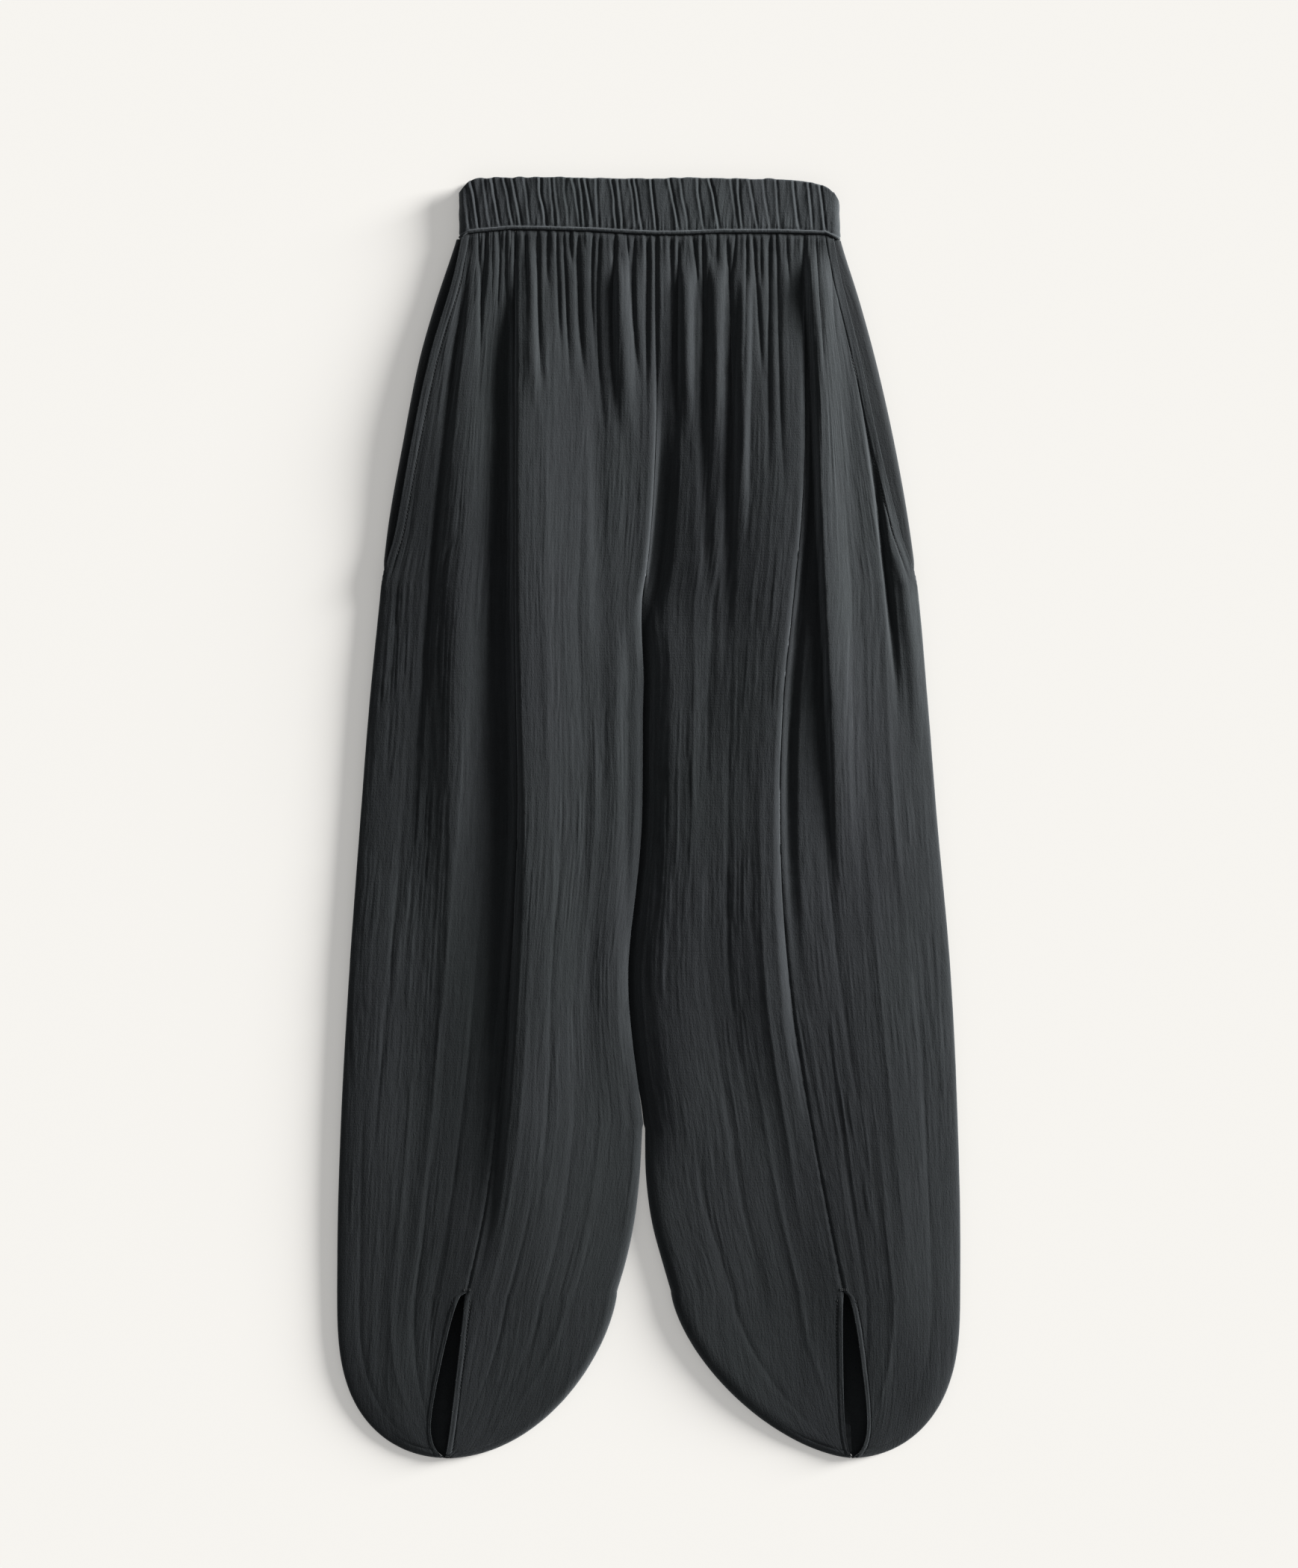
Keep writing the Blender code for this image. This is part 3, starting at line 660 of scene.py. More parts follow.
def rails(leg, which, y, fan_rows=FAN_ROWS):
    """The outline's and the seam's points of a panel's rows, from the band down to the tip."""
    half_gap = outward_of(leg) * 0.5 * SEAM_GAP
    seam = station(y, "seam_" + leg)
    if which == "outer":
        closed = smooth(*MOUTH_CLOSES, y)
        edge = station(y, "mouth_" + leg) * (1 - closed) + station(y, "outer_" + leg) * closed
        seam = seam + half_gap
    else:
        edge = inner_edge(y, leg)
        seam = seam - half_gap
    fan_edge, fan_seam = fan_points(leg, which, fan_rows)
    edge = np.concatenate([np.stack([edge, y], 1), fan_edge])
    seam = np.concatenate([np.stack([seam, y], 1), fan_seam])
    return edge, seam


def lattice(i, j, seed):
    """A fixed pseudo-random value from -1 to 1 for each point of a whole-number grid."""
    n = i * 374761393 + j * 668265263 + seed * 144269504
    n = (n ^ (n >> 13)) & 0x7FFFFFFF
    n = (n * 1274126177) & 0x7FFFFFFF
    return ((n ^ (n >> 16)) & 0xFFFF) / 32767.5 - 1.0


def noise(u, v, seed):
    """Smooth noise from -1 to 1, the same on each run."""
    i = np.floor(u).astype(np.int64)
    j = np.floor(v).astype(np.int64)
    a = u - i
    b = v - j
    a = a * a * a * (a * (6 * a - 15) + 10)
    b = b * b * b * (b * (6 * b - 15) + 10)
    low = lattice(i, j, seed) * (1 - a) + lattice(i + 1, j, seed) * a
    high = lattice(i, j + 1, seed) * (1 - a) + lattice(i + 1, j + 1, seed) * a
    return low * (1 - b) + high * b


def ridges(u, v, size, seed):
    """Rounded ridges between narrow valleys, of a width and a length."""
    return np.abs(noise(u / size[0], v / size[1], seed)) - 0.38


def crinkle(u, v, seed):
    """Lengthwise ridges in two sizes that wander and come in patches, and crepe between them."""
    wander = 1.8 * noise(u / 24, v / 120, seed) + 0.5 * noise(u / 7, v / 26, seed + 1)
    wide = ridges(u + wander, v, WIDE_RIDGE, seed + 2)
    fine = ridges(u + wander, v, FINE_RIDGE, seed + 3)
    patch = 0.7 + 0.6 * noise(u / CRINKLE_PATCH[0], v / CRINKLE_PATCH[1], seed + 4)
    crepe = 0.22 * noise(u / CREPE[0], v / CREPE[1], seed + 5)
    return (wide + 0.75 * fine) * patch + crepe


def lengths_along(line):
    """The length along a line of points up to each of them."""
    return np.concatenate([[0], np.cumsum(np.linalg.norm(np.diff(line, axis=0), axis=1))])


def track(t, start, middle, end):
    """A curve through three places, read at a share of its length."""
    return start * (1 - t) * (1 - 2 * t) + middle * 4 * t * (1 - t) - end * t * (1 - 2 * t)


def line_at(y, along):
    """The line that a fold's places count from."""
    if along == "touch":
        return touch_line(y)
    return station(y, along) if along else 0.0


def fold_height(x, y, scale):
    """How far the large folds raise or lower the cloth."""
    total = np.zeros_like(x)
    for row in FOLDS:
        fold = dict(zip(FOLD_COLUMNS, row))
        t = (fold["y_top"] - y) / (fold["y_top"] - fold["y_low"])
        base = line_at(y, fold["along"])
        away = x - base - track(t, fold["x_top"], fold["x_middle"], fold["x_low"])
        reach = np.where(away < 0, fold["left"], fold["right"])
        across = np.clip(1 - (away / reach) ** 2, 0, 1) ** 2
        rise = smooth(fold["y_top"], fold["y_top"] - fold["fade_top"], y)
        fall = smooth(fold["y_low"], fold["y_low"] + fold["fade_low"], y)
        total += scale * fold["height"] * across * rise * fall
    return total


def gather_height(x, y, scale):
    """How far the gathers below the waistband lower the cloth."""
    total = np.zeros_like(x)
    for row in GATHERS:
        gather = dict(zip(GATHER_COLUMNS, row))
        t = np.clip((BAND_BOTTOM - y) / (BAND_BOTTOM - gather["y_low"]), 0, 1)
        away = np.abs(x - track(t, gather["x_top"], gather["x_middle"], gather["x_low"]))
        reach = gather["reach"] * (0.62 + 0.4 * t)
        across = np.clip(1 - away / reach, 0, 1) ** 1.7
        fade = smooth(1.0, 0.45, t) * smooth(-0.02, 0.07, t)
        total -= GATHER_SHARE * scale * gather["depth"] * across * fade
    return total


def puckers(x, y):
    """Small tucks close under the waistband's rib, and wider ones that reach further down."""
    fine = 0.8 * np.abs(noise(x / 2.4, y / 26, 61)) - 0.3
    wide = 0.8 * np.abs(noise(x / 4.6, y / 60, 62)) - 0.3
    return smooth(436, 468, y) * fine + smooth(350, 450, y) * wide


def cloth_height(x, y, settings):
    """The middle surface of the front between its edges, never lower than just above the back panel."""
    height = level_of(y, "level") + fold_height(x, y, settings.fold_scale)
    height = height + gather_height(x, y, settings.gather_scale) + puckers(x, y)
    height = height + 0.6 * noise(x / 38, y / 130, 71) + 0.25 * noise(x / 17, y / 75, 72)
    knee = LOWEST_FRONT + SOFT_FLOOR
    below = np.minimum(height - knee, 0)
    return np.where(height < knee, LOWEST_FRONT + SOFT_FLOOR * np.exp(below / SOFT_FLOOR), height)


def crease_height(name, share, v, length):
    """The longer creases of one row of a panel. They get lower towards the leg's end."""
    total = np.zeros_like(share)
    for row in CREASES[name]:
        crease = dict(zip(CREASE_COLUMNS, row))
        t = (crease["y_top"] - v) / (crease["y_top"] - crease["y_low"])
        if not 0 < t < 1:
            continue
        place = crease["share_top"] + (crease["share_low"] - crease["share_top"]) * t
        away = (share - place) * length
        reach = crease["reach"] * min(1.0, length / 90)
        across = np.clip(1 - np.abs(away) / reach, 0, 1) ** 1.6
        total += CREASE_SHARE * crease["height"] * across * math.sin(math.pi * t) ** 0.7
    return total * (CREASE_LEFT + (1 - CREASE_LEFT) * smooth(*CREASE_FADE, v))


def tuck_of(length):
    """The tuck under a rolled edge gets shorter in the narrow rows at the tip."""
    return TUCK * min(1.0, length / FULL_TUCK_ROW)


def wrap_share(y, which):
    """How far an edge rolls over: none along a seam or the pocket's mouth, all the way round elsewhere."""
    start = WRAP_START[which]
    return smooth(start, start - WRAP_WAY[which], y)


def groove(distance, width):
    """A narrow rounded dip, 1 deep at its middle."""
    return np.exp(-((distance / width) ** 2))


def rim_relief(which, from_edge, from_seam, v, wrap):
    """Small shapes along a panel's rims: the dip at a seam, the hem of a slit, the pocket's hem."""
    relief = -0.9 * groove(from_seam, 1.1)
    pucker = 0.35 * noise(np.full_like(from_seam, v / 4.5), from_seam / 9, 81)
    relief = relief + pucker * np.exp(-from_seam / 5)
    if which == "inner":
        relief = relief - 0.9 * (1 - wrap) * groove(from_edge, 1.1)
    hem = smooth(SLIT_TOP + 2, SLIT_TOP - 14, v)
    if hem > 0:
        turned = 0.5 * smooth(HEM_WIDTH, HEM_WIDTH - 1, from_seam) + 0.2 * groove(from_seam, 1.0)
        relief = relief * (1 - hem) + hem * (turned - 0.55 * groove(from_seam - HEM_WIDTH, 0.7))
    if which == "outer" and wrap < 1:
        mouth = 0.5 * smooth(MOUTH_HEM, MOUTH_HEM - 1.2, from_edge)
        relief = relief + (mouth - 0.45 * groove(from_edge - MOUTH_HEM, 0.8)) * (1 - wrap)
    end = smooth(-470, -500, v)
    if end > 0:
        relief = relief - end * 0.6 * groove(from_edge - 6.5, 0.9)
    return relief


def valley_shape(s):
    """The right leg's rise beside the left leg's edge: a nearly flat strip, then a slope in two stages."""
    slope = VALLEY_LIFT * smooth(0, VALLEY_FLAT, s)
    for share, way in VALLEY_RISES:
        slope = slope + share * smooth(VALLEY_FLAT, VALLEY_FLAT + way, s)
    return np.minimum(slope, 1)


def panel_row(name, leg, which, edge, seam, opened, settings):
    """One row of a panel as a closely spaced line: the tuck and roll at its edge, then the way to the seam.

    It returns the points along the cloth, each one's share of the way across, and the row's length.
    """
    y_edge = edge[1]
    v = seam[1]
    wrap = wrap_share(y_edge, which)
    across = seam - edge
    length = np.hypot(*across)
    across = across / length
    roll = min(roll_of(y_edge, leg, which), ROLL_SHARE * length)
    start = 0.5 * WALL * wrap + 0.5 * SEAM_GAP * (1 - wrap)
    s = np.linspace(start, length, LINE_POINTS)
    x = edge[0] + across[0] * s
    y = edge[1] + across[1] * s
    height = cloth_height(x, y, settings) + crease_height(name, s / (length + opened), v, length)
    if which == "outer" and wrap < 1:
        free_height = 1.5 * WALL + 2 * side_roll(y_edge, leg) + MOUTH_GAP
        above = height - free_height
        rise = np.maximum(above, 0) * smooth(0, EDGE_BLEND, s - start)
        dip = np.minimum(above, 0) * smooth(4, 4 + EDGE_BLEND, s - start)
        height = (1 - wrap) * (free_height + rise + dip) + wrap * height
    outermost = (1 - wrap) * height[0] + wrap * (0.5 * WALL + roll)
    if wrap > 0:
        round_length = min(EDGE_ROUND[which + "_" + leg], 0.42 * length) * wrap
        q = np.clip((s - start) / round_length, 0, 1)
        rounded = np.sqrt(1 - (1 - q) ** 2)
        if which == "inner" and leg == "right":
            shallow = wrap * smooth(*VALLEY_END, y_edge)
            rounded = rounded * (1 - shallow) + valley_shape(s) * shallow
        height = outermost + (height - outermost) * rounded
    small = min(1.0, length / 14)
    z = height + small * rim_relief(which, s - start, length - s, v, wrap)
    points = []
    tuck = tuck_of(length) * smooth(0.5, 1, wrap)
    if wrap > 0:
        drop = (outermost - 0.5 * WALL) * wrap
        if tuck > 0.05:
            points.append((start + roll * wrap + tuck, outermost - drop))
        for k in range(ROLL_POINTS):
            turn = 0.5 * math.pi * (1 - k / ROLL_POINTS)
            points.append((start + roll * wrap * (1 - math.cos(turn)), outermost - drop * math.sin(turn)))
    s = np.concatenate([[p[0] for p in points], s])
    z = np.concatenate([[p[1] for p in points], z])
    line = np.stack([edge[0] + across[0] * s, edge[1] + across[1] * s, z], 1)
    lengths = lengths_along(line)
    bend = max(0.6 * math.pi * roll * wrap + tuck, min(6.0, 0.3 * length))
    bend_places = np.linspace(0, bend, ROLL_COLUMNS + 1)[:-1]
    places = np.concatenate([bend_places, np.linspace(bend, lengths[-1], PANEL_COLUMNS - ROLL_COLUMNS)])
    resampled = np.stack([np.interp(places, lengths, line[:, k]) for k in range(3)], 1)
    return resampled, np.interp(places, lengths, s) / length, length


def band_wave(x, table):
    """How far one of the band's edges strays from straight at a place across."""
    places, values = zip(*table)
    return np.interp(x, places, values)


def follow_band(x, y):
    """How far the cloth near the waistband moves up or down with the band's lower edge."""
    return smooth(*NEAR_BAND, y) * band_wave(x, BAND_LOW_WAVE)


def near_gap(y):
    """How far the top rows move up to leave only a hair's gap below the waistband."""
    return CLOSE_UP * smooth(CLOSE_ROW, TOP_ROW, y)


def beside_slit(grid, share, v, length, top, slit, seam_x):
    """Turns the flow in the fan, from the row `top` on, towards lines beside the slit."""
    down = np.clip((SLIT_TOP - grid[top:, :, 1]) / (SLIT_TOP - TIP), 0, 1)
    line = seam_x + (slit["tip_x"] - seam_x) * down
    beside = 1 - np.abs(grid[top:, :, 0] - line) / length[top]
    share[top:] += PARALLEL * (beside - share[top:])
    v[top:] += PARALLEL * (grid[top:, :, 1] - v[top:])


def panel_form(name, leg, which, settings):
    """A front panel's middle surface, each point's share of its row, the rows' lengths and the flow."""
    edges, seams = rails(leg, which, rows_down())
    slit = slit_of(leg)
    slit_width = slit[which + "_bow"] * bow(fan_shares(FAN_ROWS))
    opened = np.concatenate([np.zeros(len(edges) - FAN_ROWS), slit_width])
    rows = [panel_row(name, leg, which, *row, settings) for row in zip(edges, seams, opened)]
    grid, share, length = (np.array(part) for part in zip(*rows))
    followed = follow_band(grid[:, :, 0], grid[:, :, 1])
    lapped = smooth(CLOSE_ROW, TOP_ROW, grid[:, :, 1]) * smooth(*LAP_LEFT, grid[:, :, 0])
    lapped = lapped * smooth(*LAP_RIGHT, grid[:, :, 0])
    grid[:, :, 1] += near_gap(grid[:, :, 1])
    grid[:, :, 1] += followed + BAND_LAP[0] * lapped
    grid[:, :, 2] -= BAND_LAP[1] * lapped
    flow_v = seams[:, 1][:, None] * np.ones_like(share)
    flow_share = share * (length / (length + opened))[:, None]
    top = len(edges) - FAN_ROWS - 1
    beside_slit(grid, flow_share, flow_v, length, top, slit, seams[top, 0])
    return grid, share, length, flow_share * FLOW_WIDTH + FLOW_START[name], flow_v


def grid_normals(grid):
    """Unit normals of a grid of points, turned so that they point up in the middle near the seam."""
    down = np.gradient(grid, axis=0)
    across = np.gradient(grid, axis=1)
    normals = np.cross(down, across)
    lengths = np.linalg.norm(normals, axis=2, keepdims=True)
    normals = normals / np.maximum(lengths, 1e-9)
    if normals[grid.shape[0] // 2, -6, 2] < 0:
        normals = -normals
    return normals


def grid_faces(rows, columns, start=0, flip=False):
    """Four-sided faces between the points of a grid."""
    index = np.arange(rows * columns).reshape(rows, columns) + start
    faces = np.stack([index[:-1, :-1], index[1:, :-1], index[1:, 1:], index[:-1, 1:]], 2).reshape(-1, 4)
    return faces[:, ::-1] if flip else faces


def shell_faces(rows, columns):
    """Faces of two layers of a grid and of the rim between them."""
    count = rows * columns
    index = np.arange(count).reshape(rows, columns)
    rim = np.concatenate([index[0, :], index[1:, -1], index[-1, -2::-1], index[-2:0:-1, 0]])
    following = np.roll(rim, -1)
    walls = np.stack([rim, following, following + count, rim + count], 1)
    return np.concatenate([grid_faces(rows, columns), grid_faces(rows, columns, count, True), walls])


def add_object(name, data):
    """An object in the scene that holds a mesh, a lamp or a camera."""
    obj = bpy.data.objects.new(name, data)
    bpy.context.scene.collection.objects.link(obj)
    return obj


def make_object(name, points, faces, material, flow, relief):
    """A mesh object in metres from points in millimetres, facing outwards, on the body."""
    data = bpy.data.meshes.new(name)
    data.from_pydata((points * MM).tolist(), [], faces)
    data.validate()
    corners = np.empty(len(data.loops), np.int64)
    data.loops.foreach_get("vertex_index", corners)
    layer = data.uv_layers.new(name="flow")
    layer.data.foreach_set("uv", (flow[corners] * MM).ravel())
    # The relief attribute holds the height of the crinkle or of the creases; the cloth's shader uses it to
    # paint shade in their valleys and light on their crests.
    attribute = data.attributes.new("relief", "FLOAT", "POINT")
    attribute.data.foreach_set("value", relief)
    data.shade_smooth()
    obj = add_object(name, data)
    data.materials.append(material)
    outward(obj)
    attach(obj, BODY)
    return obj


def outward(obj):
    """Turns the faces round if the closed mesh's volume comes out negative."""
    data = obj.data
    data.calc_loop_triangles()
    triangles = np.empty(len(data.loop_triangles) * 3, np.int64)
    data.loop_triangles.foreach_get("vertices", triangles)
    points = np.empty(len(data.vertices) * 3)
    data.vertices.foreach_get("co", points)
    corners = points.reshape(-1, 3)[triangles.reshape(-1, 3)]
    if np.linalg.det(corners).sum() < 0:
        data.flip_normals()


def new_material(name, roughness, specular):
    """A material with its roughness and highlight set, with its node tree and its main shader."""
    material = bpy.data.materials.new(name)
    material.use_nodes = True
    shader = material.node_tree.nodes["Principled BSDF"]
    shader.inputs["Roughness"].default_value = roughness
    shader.inputs["Specular IOR Level"].default_value = specular
    return material, material.node_tree, shader


def feed(tree, socket, value):
    """Links an output to a socket, or sets the socket to a plain value."""
    if isinstance(value, bpy.types.NodeSocket):
        tree.links.new(value, socket)
    else:
        socket.default_value = value


def new_node(tree, kind, inputs=(), **settings):
    """A node with its settings, and its inputs fed by name or place."""
    node = tree.nodes.new(kind)
    for key, value in settings.items():
        setattr(node, key, value)
    for key, value in dict(inputs).items():
        feed(tree, node.inputs[key], value)
    return node


def math_node(tree, operation, first, second):
    """The result of a sum, a difference or a product."""
    return new_node(tree, "ShaderNodeMath", {0: first, 1: second}, operation=operation).outputs[0]


def weighted_sum(tree, *parts):
    """The sum of some outputs, each multiplied by its weight."""
    total = None
    for output, weight in parts:
        part = math_node(tree, "MULTIPLY", output, weight)
        total = part if total is None else math_node(tree, "ADD", total, part)
    return total


def colour_mix(tree, blend, share, first, second):
    """A colour mixed from two colours or outputs. A mix node's colour inputs are its 7th and 8th."""
    inputs = {0: share, 6: first, 7: second}
    return new_node(tree, "ShaderNodeMix", inputs, data_type="RGBA", blend_type=blend).outputs[2]


def stretched_noise(tree, source, scale, detail):
    """Noise whose size differs along each axis of its source."""
    mapped = new_node(tree, "ShaderNodeMapping", {"Vector": source, "Scale": scale}).outputs[0]
    inputs = {"Vector": mapped, "Scale": 1.0, "Detail": detail, "Roughness": 0.6}
    return new_node(tree, "ShaderNodeTexNoise", inputs).outputs[0]


def tinted(colour, tint):
    """A colour with each part multiplied by the tint's, as a socket takes it."""
    return tuple(part * share for part, share in zip(colour, tint)) + (1.0,)


def cloth_material(name, colour, settings, crinkle_bump=1.0):
    """Crinkled gauze: crinkle and weave as bump, fuzzy fibres as speckle, painted light on the crinkle's
    crests and painted shade in its valleys, faint hues.
    """
    material, tree, shader = new_material(name, settings.roughness, 0.12)
    flow = new_node(tree, "ShaderNodeUVMap", uv_map="flow").outputs[0]
    place = new_node(tree, "ShaderNodeTexCoord").outputs["Object"]
    relief = new_node(tree, "ShaderNodeAttribute", attribute_name="relief").outputs["Fac"]
    crinkled = stretched_noise(tree, flow, (560, 75, 1), 3.0)
    fibres = stretched_noise(tree, flow, (1500, 420, 1), 2.0)
    fuzz = stretched_noise(tree, place, (900, 900, 900), 2.0)
    cloudy = stretched_noise(tree, place, (26, 12, 26), 3.0)
    patches = stretched_noise(tree, place, (9, 4, 9), 2.0)
    quarter_turn = (0, 0, 0.5 * math.pi)
    across = {"Vector": flow, "Scale": (40, 250, 1), "Rotation": quarter_turn}
    weft_map = new_node(tree, "ShaderNodeMapping", across).outputs[0]
    threads = {"Vector": weft_map, "Scale": 1.0, "Distortion": 1.5, "Detail": 1.0}
    weft = new_node(tree, "ShaderNodeTexWave", threads).outputs["Fac"]
    height = weighted_sum(tree, (crinkled, 0.75 * crinkle_bump), (fibres, 0.45), (fuzz, 0.42), (weft, 0.10))
    bump = new_node(tree, "ShaderNodeBump", {"Strength": 1.0, "Distance": 0.0005, "Height": height})
    # The crinkle's noise and the relief attribute make the valleys darker and the crests brighter, as
    # painted shade and painted light; the cloudy noise and the fuzz are the cloth's own uneven tone.
    tone = weighted_sum(tree, (cloudy, 0.5), (fuzz, 0.9), (crinkled, 0.35), (relief, 0.25))
    tone = math_node(tree, "ADD", tone, 0.12)
    patchy = math_node(tree, "MULTIPLY", math_node(tree, "SUBTRACT", patches, 0.3), 2.4)
    greener = tinted(colour, (0.98, 1.035, 1.0))
    bluer = tinted(colour, (1.03, 0.99, 1.05))
    hue = colour_mix(tree, "MIX", patchy, greener, bluer)
    feed(tree, shader.inputs["Base Color"], colour_mix(tree, "MULTIPLY", 1.0, hue, tone))
    feed(tree, shader.inputs["Normal"], bump.outputs[0])
    shader.inputs["Sheen Weight"].default_value = settings.sheen
    shader.inputs["Sheen Roughness"].default_value = 0.55
    shader.inputs["Sheen Tint"].default_value = (0.75, 0.8, 0.85, 1.0)
    return material


def thread_material(name, colour, roughness):
    """Twisted thread: a slanting ripple as bump and a little speckle."""
    material, tree, shader = new_material(name, roughness, 0.1)
    place = new_node(tree, "ShaderNodeTexCoord").outputs["Object"]
    twist = {"Vector": place, "Scale": 2200.0, "Distortion": 0.6}
    ply = new_node(tree, "ShaderNodeTexWave", twist, bands_direction="DIAGONAL").outputs["Fac"]
    bump = new_node(tree, "ShaderNodeBump", {"Strength": 0.6, "Distance": 0.0001, "Height": ply})
    speckle = stretched_noise(tree, place, (1400, 1400, 1400), 2.0)
    feed(tree, shader.inputs["Normal"], bump.outputs[0])
    feed(tree, shader.inputs["Base Color"], colour_mix(tree, "MULTIPLY", 0.5, (*colour, 1.0), speckle))
    shader.inputs["Sheen Weight"].default_value = 0.2
    return material


def shell(name, middle, outer_offset, material, flow_u, flow_v, relief):
    """A cloth wall on a middle surface: its outer layer carries the crinkle, its inner layer is smooth.

    The rim in the last column, along a seam, stands upright, so that the seam's gap keeps its width. The
    outer layer's points come back with the object.
    """
    normals = grid_normals(middle)
    upright = normals.copy()
    upright[:, -1] = 0
    upright[:, -1, 2] = np.clip(1 / np.maximum(np.abs(normals[:, -1, 2]), 1e-6), 1, 1.6)
    outer = middle + upright * (0.5 * WALL + outer_offset)[:, :, None]
    inner = middle - upright * 0.5 * WALL
    points = np.concatenate([outer.reshape(-1, 3), inner.reshape(-1, 3)])
    flow = np.tile(np.stack([flow_u.ravel(), flow_v.ravel()], 1), (2, 1))
    faces = shell_faces(*middle.shape[:2]).tolist()
    return make_object(name, points, faces, material, flow, np.tile(relief.ravel(), 2)), outer


def band_section():
    """The waistband's flattened ring: places, and outward directions across and up."""
    radius = 0.5 * (BAND_LEVEL - 0.5 * BAND_WALL)
    middle = 0.5 * (BAND_LEVEL + 0.5 * BAND_WALL)
    left = BAND_LEFT + radius + 0.5 * BAND_WALL
    right = BAND_RIGHT - radius - 0.5 * BAND_WALL
    front = np.linspace(right, left, BAND_FRONT_PLACES + 1)
    back = np.linspace(left, right, BAND_BACK_PLACES + 1)
    turn = math.pi * np.arange(1, BAND_END_PLACES) / BAND_END_PLACES
    nx = np.concatenate([np.zeros(len(front)), -np.sin(turn), np.zeros(len(back)), np.sin(turn)])
    nz = np.concatenate([np.ones(len(front)), np.cos(turn), -np.ones(len(back)), -np.cos(turn)])
    x = np.concatenate([front, np.full(len(turn), left), back, np.full(len(turn), right)]) + radius * nx
    return x, middle + radius * nz, nx, nz


def band_relief(x, t, nz, along):
    """Height of the band's creases over its even surface, by place across and share of its height."""
    total = np.zeros_like(x * t)
    for place, lean, depth in BAND_CREASES:
        bend = 0.8 * noise(np.full_like(t, place), 3 * t, 31)
        away = x - place - lean * (1 - t) - bend
        valley = np.clip(1 - np.abs(away) / 1.9, 0, 1) ** 1.3
        lip = np.clip(1 - np.abs(away + 2.1) / 2.4, 0, 1) ** 1.4
        total += depth * (-0.8 * valley + 0.55 * lip) * smooth(0.0, 0.14, t)
    total = total * np.clip(nz, 0, 1)
    slant = along - 7 * (1 - t)
    broad = 0.45 * noise(slant / 7.5, 1.2 * t, 33) + 0.3 * np.abs(noise(slant / 3.1, 2.2 * t, 34))
    total = total + broad * np.where(nz > 0.5, 0.8, 1.6)
    ticks = np.abs(noise(along / 2.6, 0.8 * t, 35)) - 0.3
    total = total + 0.75 * ticks * smooth(0.42, 0.1, t) + 0.35 * ticks * smooth(0.8, 1.0, t)
    return total


def band_profile():
    """The band's rows round its wall: height, way out from the wall's middle, and share of the creases."""
    half = 0.5 * BAND_WALL
    profile = []
    for turn in np.linspace(0, math.pi, 9):
        lip_y = BAND_BOTTOM + LIP_RADIUS * (1 - math.cos(turn))
        profile.append((lip_y, half * 0.6 + LIP_REACH * math.sin(turn), 0.0))
    outer = np.linspace(BAND_BOTTOM + RIB_HEIGHT, BAND_TOP - half, BAND_ROWS)
    profile += [(y, half, 1.0) for y in outer[1:]]
    for k in range(1, 6):
        turn = math.pi * k / 6
        profile.append((BAND_TOP - half + half * math.sin(turn), half * math.cos(turn), 1.0 - k / 6))
    return profile + [(y, -half, 0.0) for y in np.linspace(BAND_TOP - half, BAND_BOTTOM + 1.0, 8)]


def build_waistband(settings):
    """The flattened ring with its creases, and the rib along its lower edge."""
    x, z, nx, nz = band_section()
    steps = np.hypot(np.diff(x, append=x[:1]), np.diff(z, append=z[:1]))
    along = np.concatenate([[0], np.cumsum(steps)[:-1]])
    grid = []
    reliefs = []
    for y, offset, crease in band_profile():
        t = np.full_like(x, (y - BAND_BOTTOM) / (BAND_TOP - BAND_BOTTOM))
        relief = band_relief(x, t, nz, along) * crease
        if crease == 0.0 and offset > 0:
            relief = 0.16 * noise(along / 1.7, np.full_like(x, 0.3 * offset), 37)
        level = np.where(nz > -0.9, relief, 0.35 * np.maximum(relief, 0) - 0.2)
        level = np.where((nz < -0.9) & (offset > 0), np.minimum(level, 0.0), level)
        reach = offset + level
        wave = (1 - t) * band_wave(x, BAND_LOW_WAVE) + t * band_wave(x, BAND_HIGH_WAVE)
        scallop = 0.7 * noise(along / 6.5, np.zeros_like(x), 39) * smooth(0.6, 1.0, t)
        grid.append(np.stack([x + nx * reach, y + wave + scallop, z + nz * reach], 1))
        reliefs.append(level)
    grid = np.array(grid)
    grid[:, :, 2] = np.maximum(grid[:, :, 2], BAND_CLEARANCE)
    rows, columns = grid.shape[:2]
    index = np.arange(rows * columns).reshape(rows, columns)
    below = np.roll(index, -1, axis=0)
    faces = np.stack([index, below, np.roll(below, -1, axis=1), np.roll(index, -1, axis=1)], 2)
    flow = np.stack([np.tile(along, (rows, 1)), grid[:, :, 1]], 2).reshape(-1, 2)
    # The band's colour is the cloth's made lighter: painted light.
    lighter = [settings.band_painted_light * value for value in settings.cloth_colour]
    material = cloth_material("waistband_cloth", lighter, settings, 0.9)
    points = grid.reshape(-1, 3)
    faces = faces.reshape(-1, 4).tolist()
    obj = make_object("waistband_cloth", points, faces, material, flow, np.array(reliefs).ravel())
    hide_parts("waistband")
    return obj


# The front panels: name, leg, which side of the leg's seam, and the seed of its crinkle.
PANELS = (
    ("front_side_left", "left", "outer", 11),
    ("front_centre_left", "left", "inner", 12),
    ("front_side_right", "right", "outer", 13),
    ("front_centre_right", "right", "inner", 14),
)

# Each front panel's outer surface, with the distances of its points from the edge and from the seam.
SURFACES = {}


